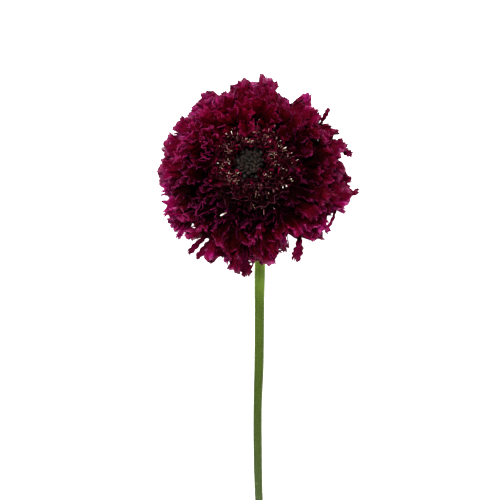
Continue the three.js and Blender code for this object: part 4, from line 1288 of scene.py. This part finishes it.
def stem_material():
    """The stem: bright green just below the head, as painted light that lifts the petals' shadow there,
    greyer and darker along the run, with faint streaks along it, and a pale pithy cut end."""
    s = Shader("stem_downy_green")
    out, across, end = s.values("out", "across", "end")
    drawn_out = s.node("Mapping", {"Vector": s.place(), "Scale": (1.0, 0.06, 1.0)}).outputs[0]
    streaks = s.noise(2400.0, place=drawn_out)
    mottle = s.noise(160.0)
    # The first stops are bright: painted light that lifts the petals' shadow from the stem below the head.
    color = s.ramp(
        out,
        (0.25, (0.22, 0.36, 0.04)),
        (0.278, (0.105, 0.178, 0.014)),
        (0.34, (0.044, 0.077, 0.003)),
        (0.46, (0.036, 0.062, 0.003)),
        (0.55, (0.034, 0.055, 0.006)),
        (0.7, (0.05, 0.075, 0.02)),
    )
    tone = (streaks * 0.7 + mottle * 0.5).between(0.3, 0.9, 0.7, 1.35)
    color = s.times(s.times(color, tone), across.between(low=0.94, high=1.06))
    pith = s.ramp(s.noise(1700.0), (0.3, (0.32, 0.36, 0.16)), (0.7, (0.62, 0.64, 0.42)))
    color = s.mixed(end.between(0.05, 0.25), color, pith)
    return s.finish(
        color, mottle.between(low=0.5, high=0.66), (streaks + mottle * 0.4, 0.4, 0.00012), color, 0.1,
        Sheen_Weight=0.16, Sheen_Roughness=0.35, Specular_IOR_Level=0.12, Sheen_Tint=(0.9, 1.0, 0.5, 1),
    )


def floor_material():
    s = Shader("pale_floor")
    color = s.ramp(s.noise(6.0, 2.0), (0.0, (0.86, 0.86, 0.86)), (1.0, (0.9, 0.9, 0.9)))
    return s.finish(
        color, 0.8, Specular_IOR_Level=0.1, Emission_Color=(1, 1, 1, 1), Emission_Strength=1.25,
    )


# --- Everything in its place ----------------------------------------------------------------------

petal_velvet = petal_material()
for letter, pile in zip("abcd", outer_florets()):
    make_piece(f"outer_petals_{letter}", pile, petal_velvet, "outer_petal", "outer_florets")
seed_green = leaf_material(
    "seed_case_green", (0.01, 0.01, 0.004), (0.035, 0.032, 0.012), (0.08, 0.075, 0.03), sheen=0.05
)
make_piece("outer_seed_cases", seed_cases(*OUTER_CASES), seed_green, "bract_green", "outer_florets")

inner = Pile()
for j in range(INNER_COUNT):
    inner_floret(inner, j)
make_piece("inner_corollas", inner, inner_material(), "inner_petal", "inner_florets")
seed_brown = leaf_material(
    "seed_case_brown", (0.002, 0.001, 0.001), (0.006, 0.003, 0.002), (0.014, 0.009, 0.006), sheen=0.0
)
make_piece("inner_seed_cases", seed_cases(*INNER_CASES), seed_brown, "bract_green", "inner_florets")
threads, anthers = stamens()
make_piece("filaments_and_styles", threads, thread_material(), "inner_petal", "inner_florets")
make_piece("anthers", anthers, anther_material(), "inner_petal", "inner_florets")

make_piece("buds", centre_buds(), bud_material(), "bud", "centre_buds")
make_piece("bud_seed_cases", seed_cases(*BUD_CASES), seed_brown, "bud", "centre_buds")
bristle_dark = strand_material("bristle_dark", (0.012, 0.006, 0.006), (0.06, 0.02, 0.02), 0.3, 0.00005)
make_piece("calyx_bristles", bristles(), bristle_dark, "bud", "centre_buds")

bract_green = leaf_material("bract_green", (0.045, 0.07, 0.015), (0.11, 0.17, 0.035), (0.2, 0.27, 0.08))
make_piece("bract_leaves", bracts(), bract_green, "bract_green", "bracts")
make_piece("stem_skin", stem(), stem_material(), "stem_green", "stem")
pale_down = strand_material("pale_down", (0.3, 0.38, 0.16), (0.55, 0.62, 0.4), 0.2, 0.00003)
make_piece("stem_down", stem_hairs(), pale_down, "stem_green", "stem")

# --- Floor, light and camera, in metres -----------------------------------------------------------

FLOOR_REACH = 3
LIT_PLACE = (0, 0.067, 0.015)  # the middle of the bloom, to which every light is turned
CAMERA_AT = (-0.0017, 0.0443, 1.5)
VIEW_DISTANCE = 1.485  # from the camera, at which its view is as wide as VIEW_WIDTH
VIEW_WIDTH = 0.164
SENSOR_WIDTH = 36  # in millimetres, as the lens is


def add_object(name, data):
    made = bpy.data.objects.new(name, data)
    bpy.context.scene.collection.objects.link(made)
    return made


def area_light(name, at, size, watts):
    light = bpy.data.lights.new(name, "AREA")
    light.shape = "DISK"
    light.size = size
    light.energy = watts
    made = add_object(name, light)
    made.location = at
    made.rotation_mode = "QUATERNION"
    made.rotation_quaternion = (Vector(LIT_PLACE) - Vector(at)).to_track_quat("-Z", "Y")


mesh = bpy.data.meshes.new("floor")
corners = [(x * FLOOR_REACH, y * FLOOR_REACH, 0) for x, y in ((-1, -1), (1, -1), (1, 1), (-1, 1))]
mesh.from_pydata(corners, [], [(0, 1, 2, 3)])
mesh.materials.append(floor_material())
made = add_object("floor", mesh)

area_light("key", (-0.15, 0.6, 1.35), 0.4, 34.5)
area_light("fill", (0.3, -0.9, 0.9), 0.6, 6)
area_light("left", (-1.1, 0.1, 0.6), 0.5, 4)
area_light("right", (1.1, -0.1, 0.65), 0.5, 5)

world = bpy.data.worlds.new("studio")
world.use_nodes = True
world.node_tree.nodes["Background"].inputs[0].default_value = (1, 1, 1, 1)
world.node_tree.nodes["Background"].inputs[1].default_value = 0.05
bpy.context.scene.world = world
bpy.context.scene.view_settings.view_transform = "Standard"

camera = bpy.data.cameras.new("camera")
camera.type = "PERSP"
camera.sensor_width = SENSOR_WIDTH
camera.lens = SENSOR_WIDTH * VIEW_DISTANCE / VIEW_WIDTH
camera.clip_end = 20
seen_from = add_object("camera", camera)
seen_from.location = CAMERA_AT
bpy.context.scene.camera = seen_from

bpy.context.view_layer.update()
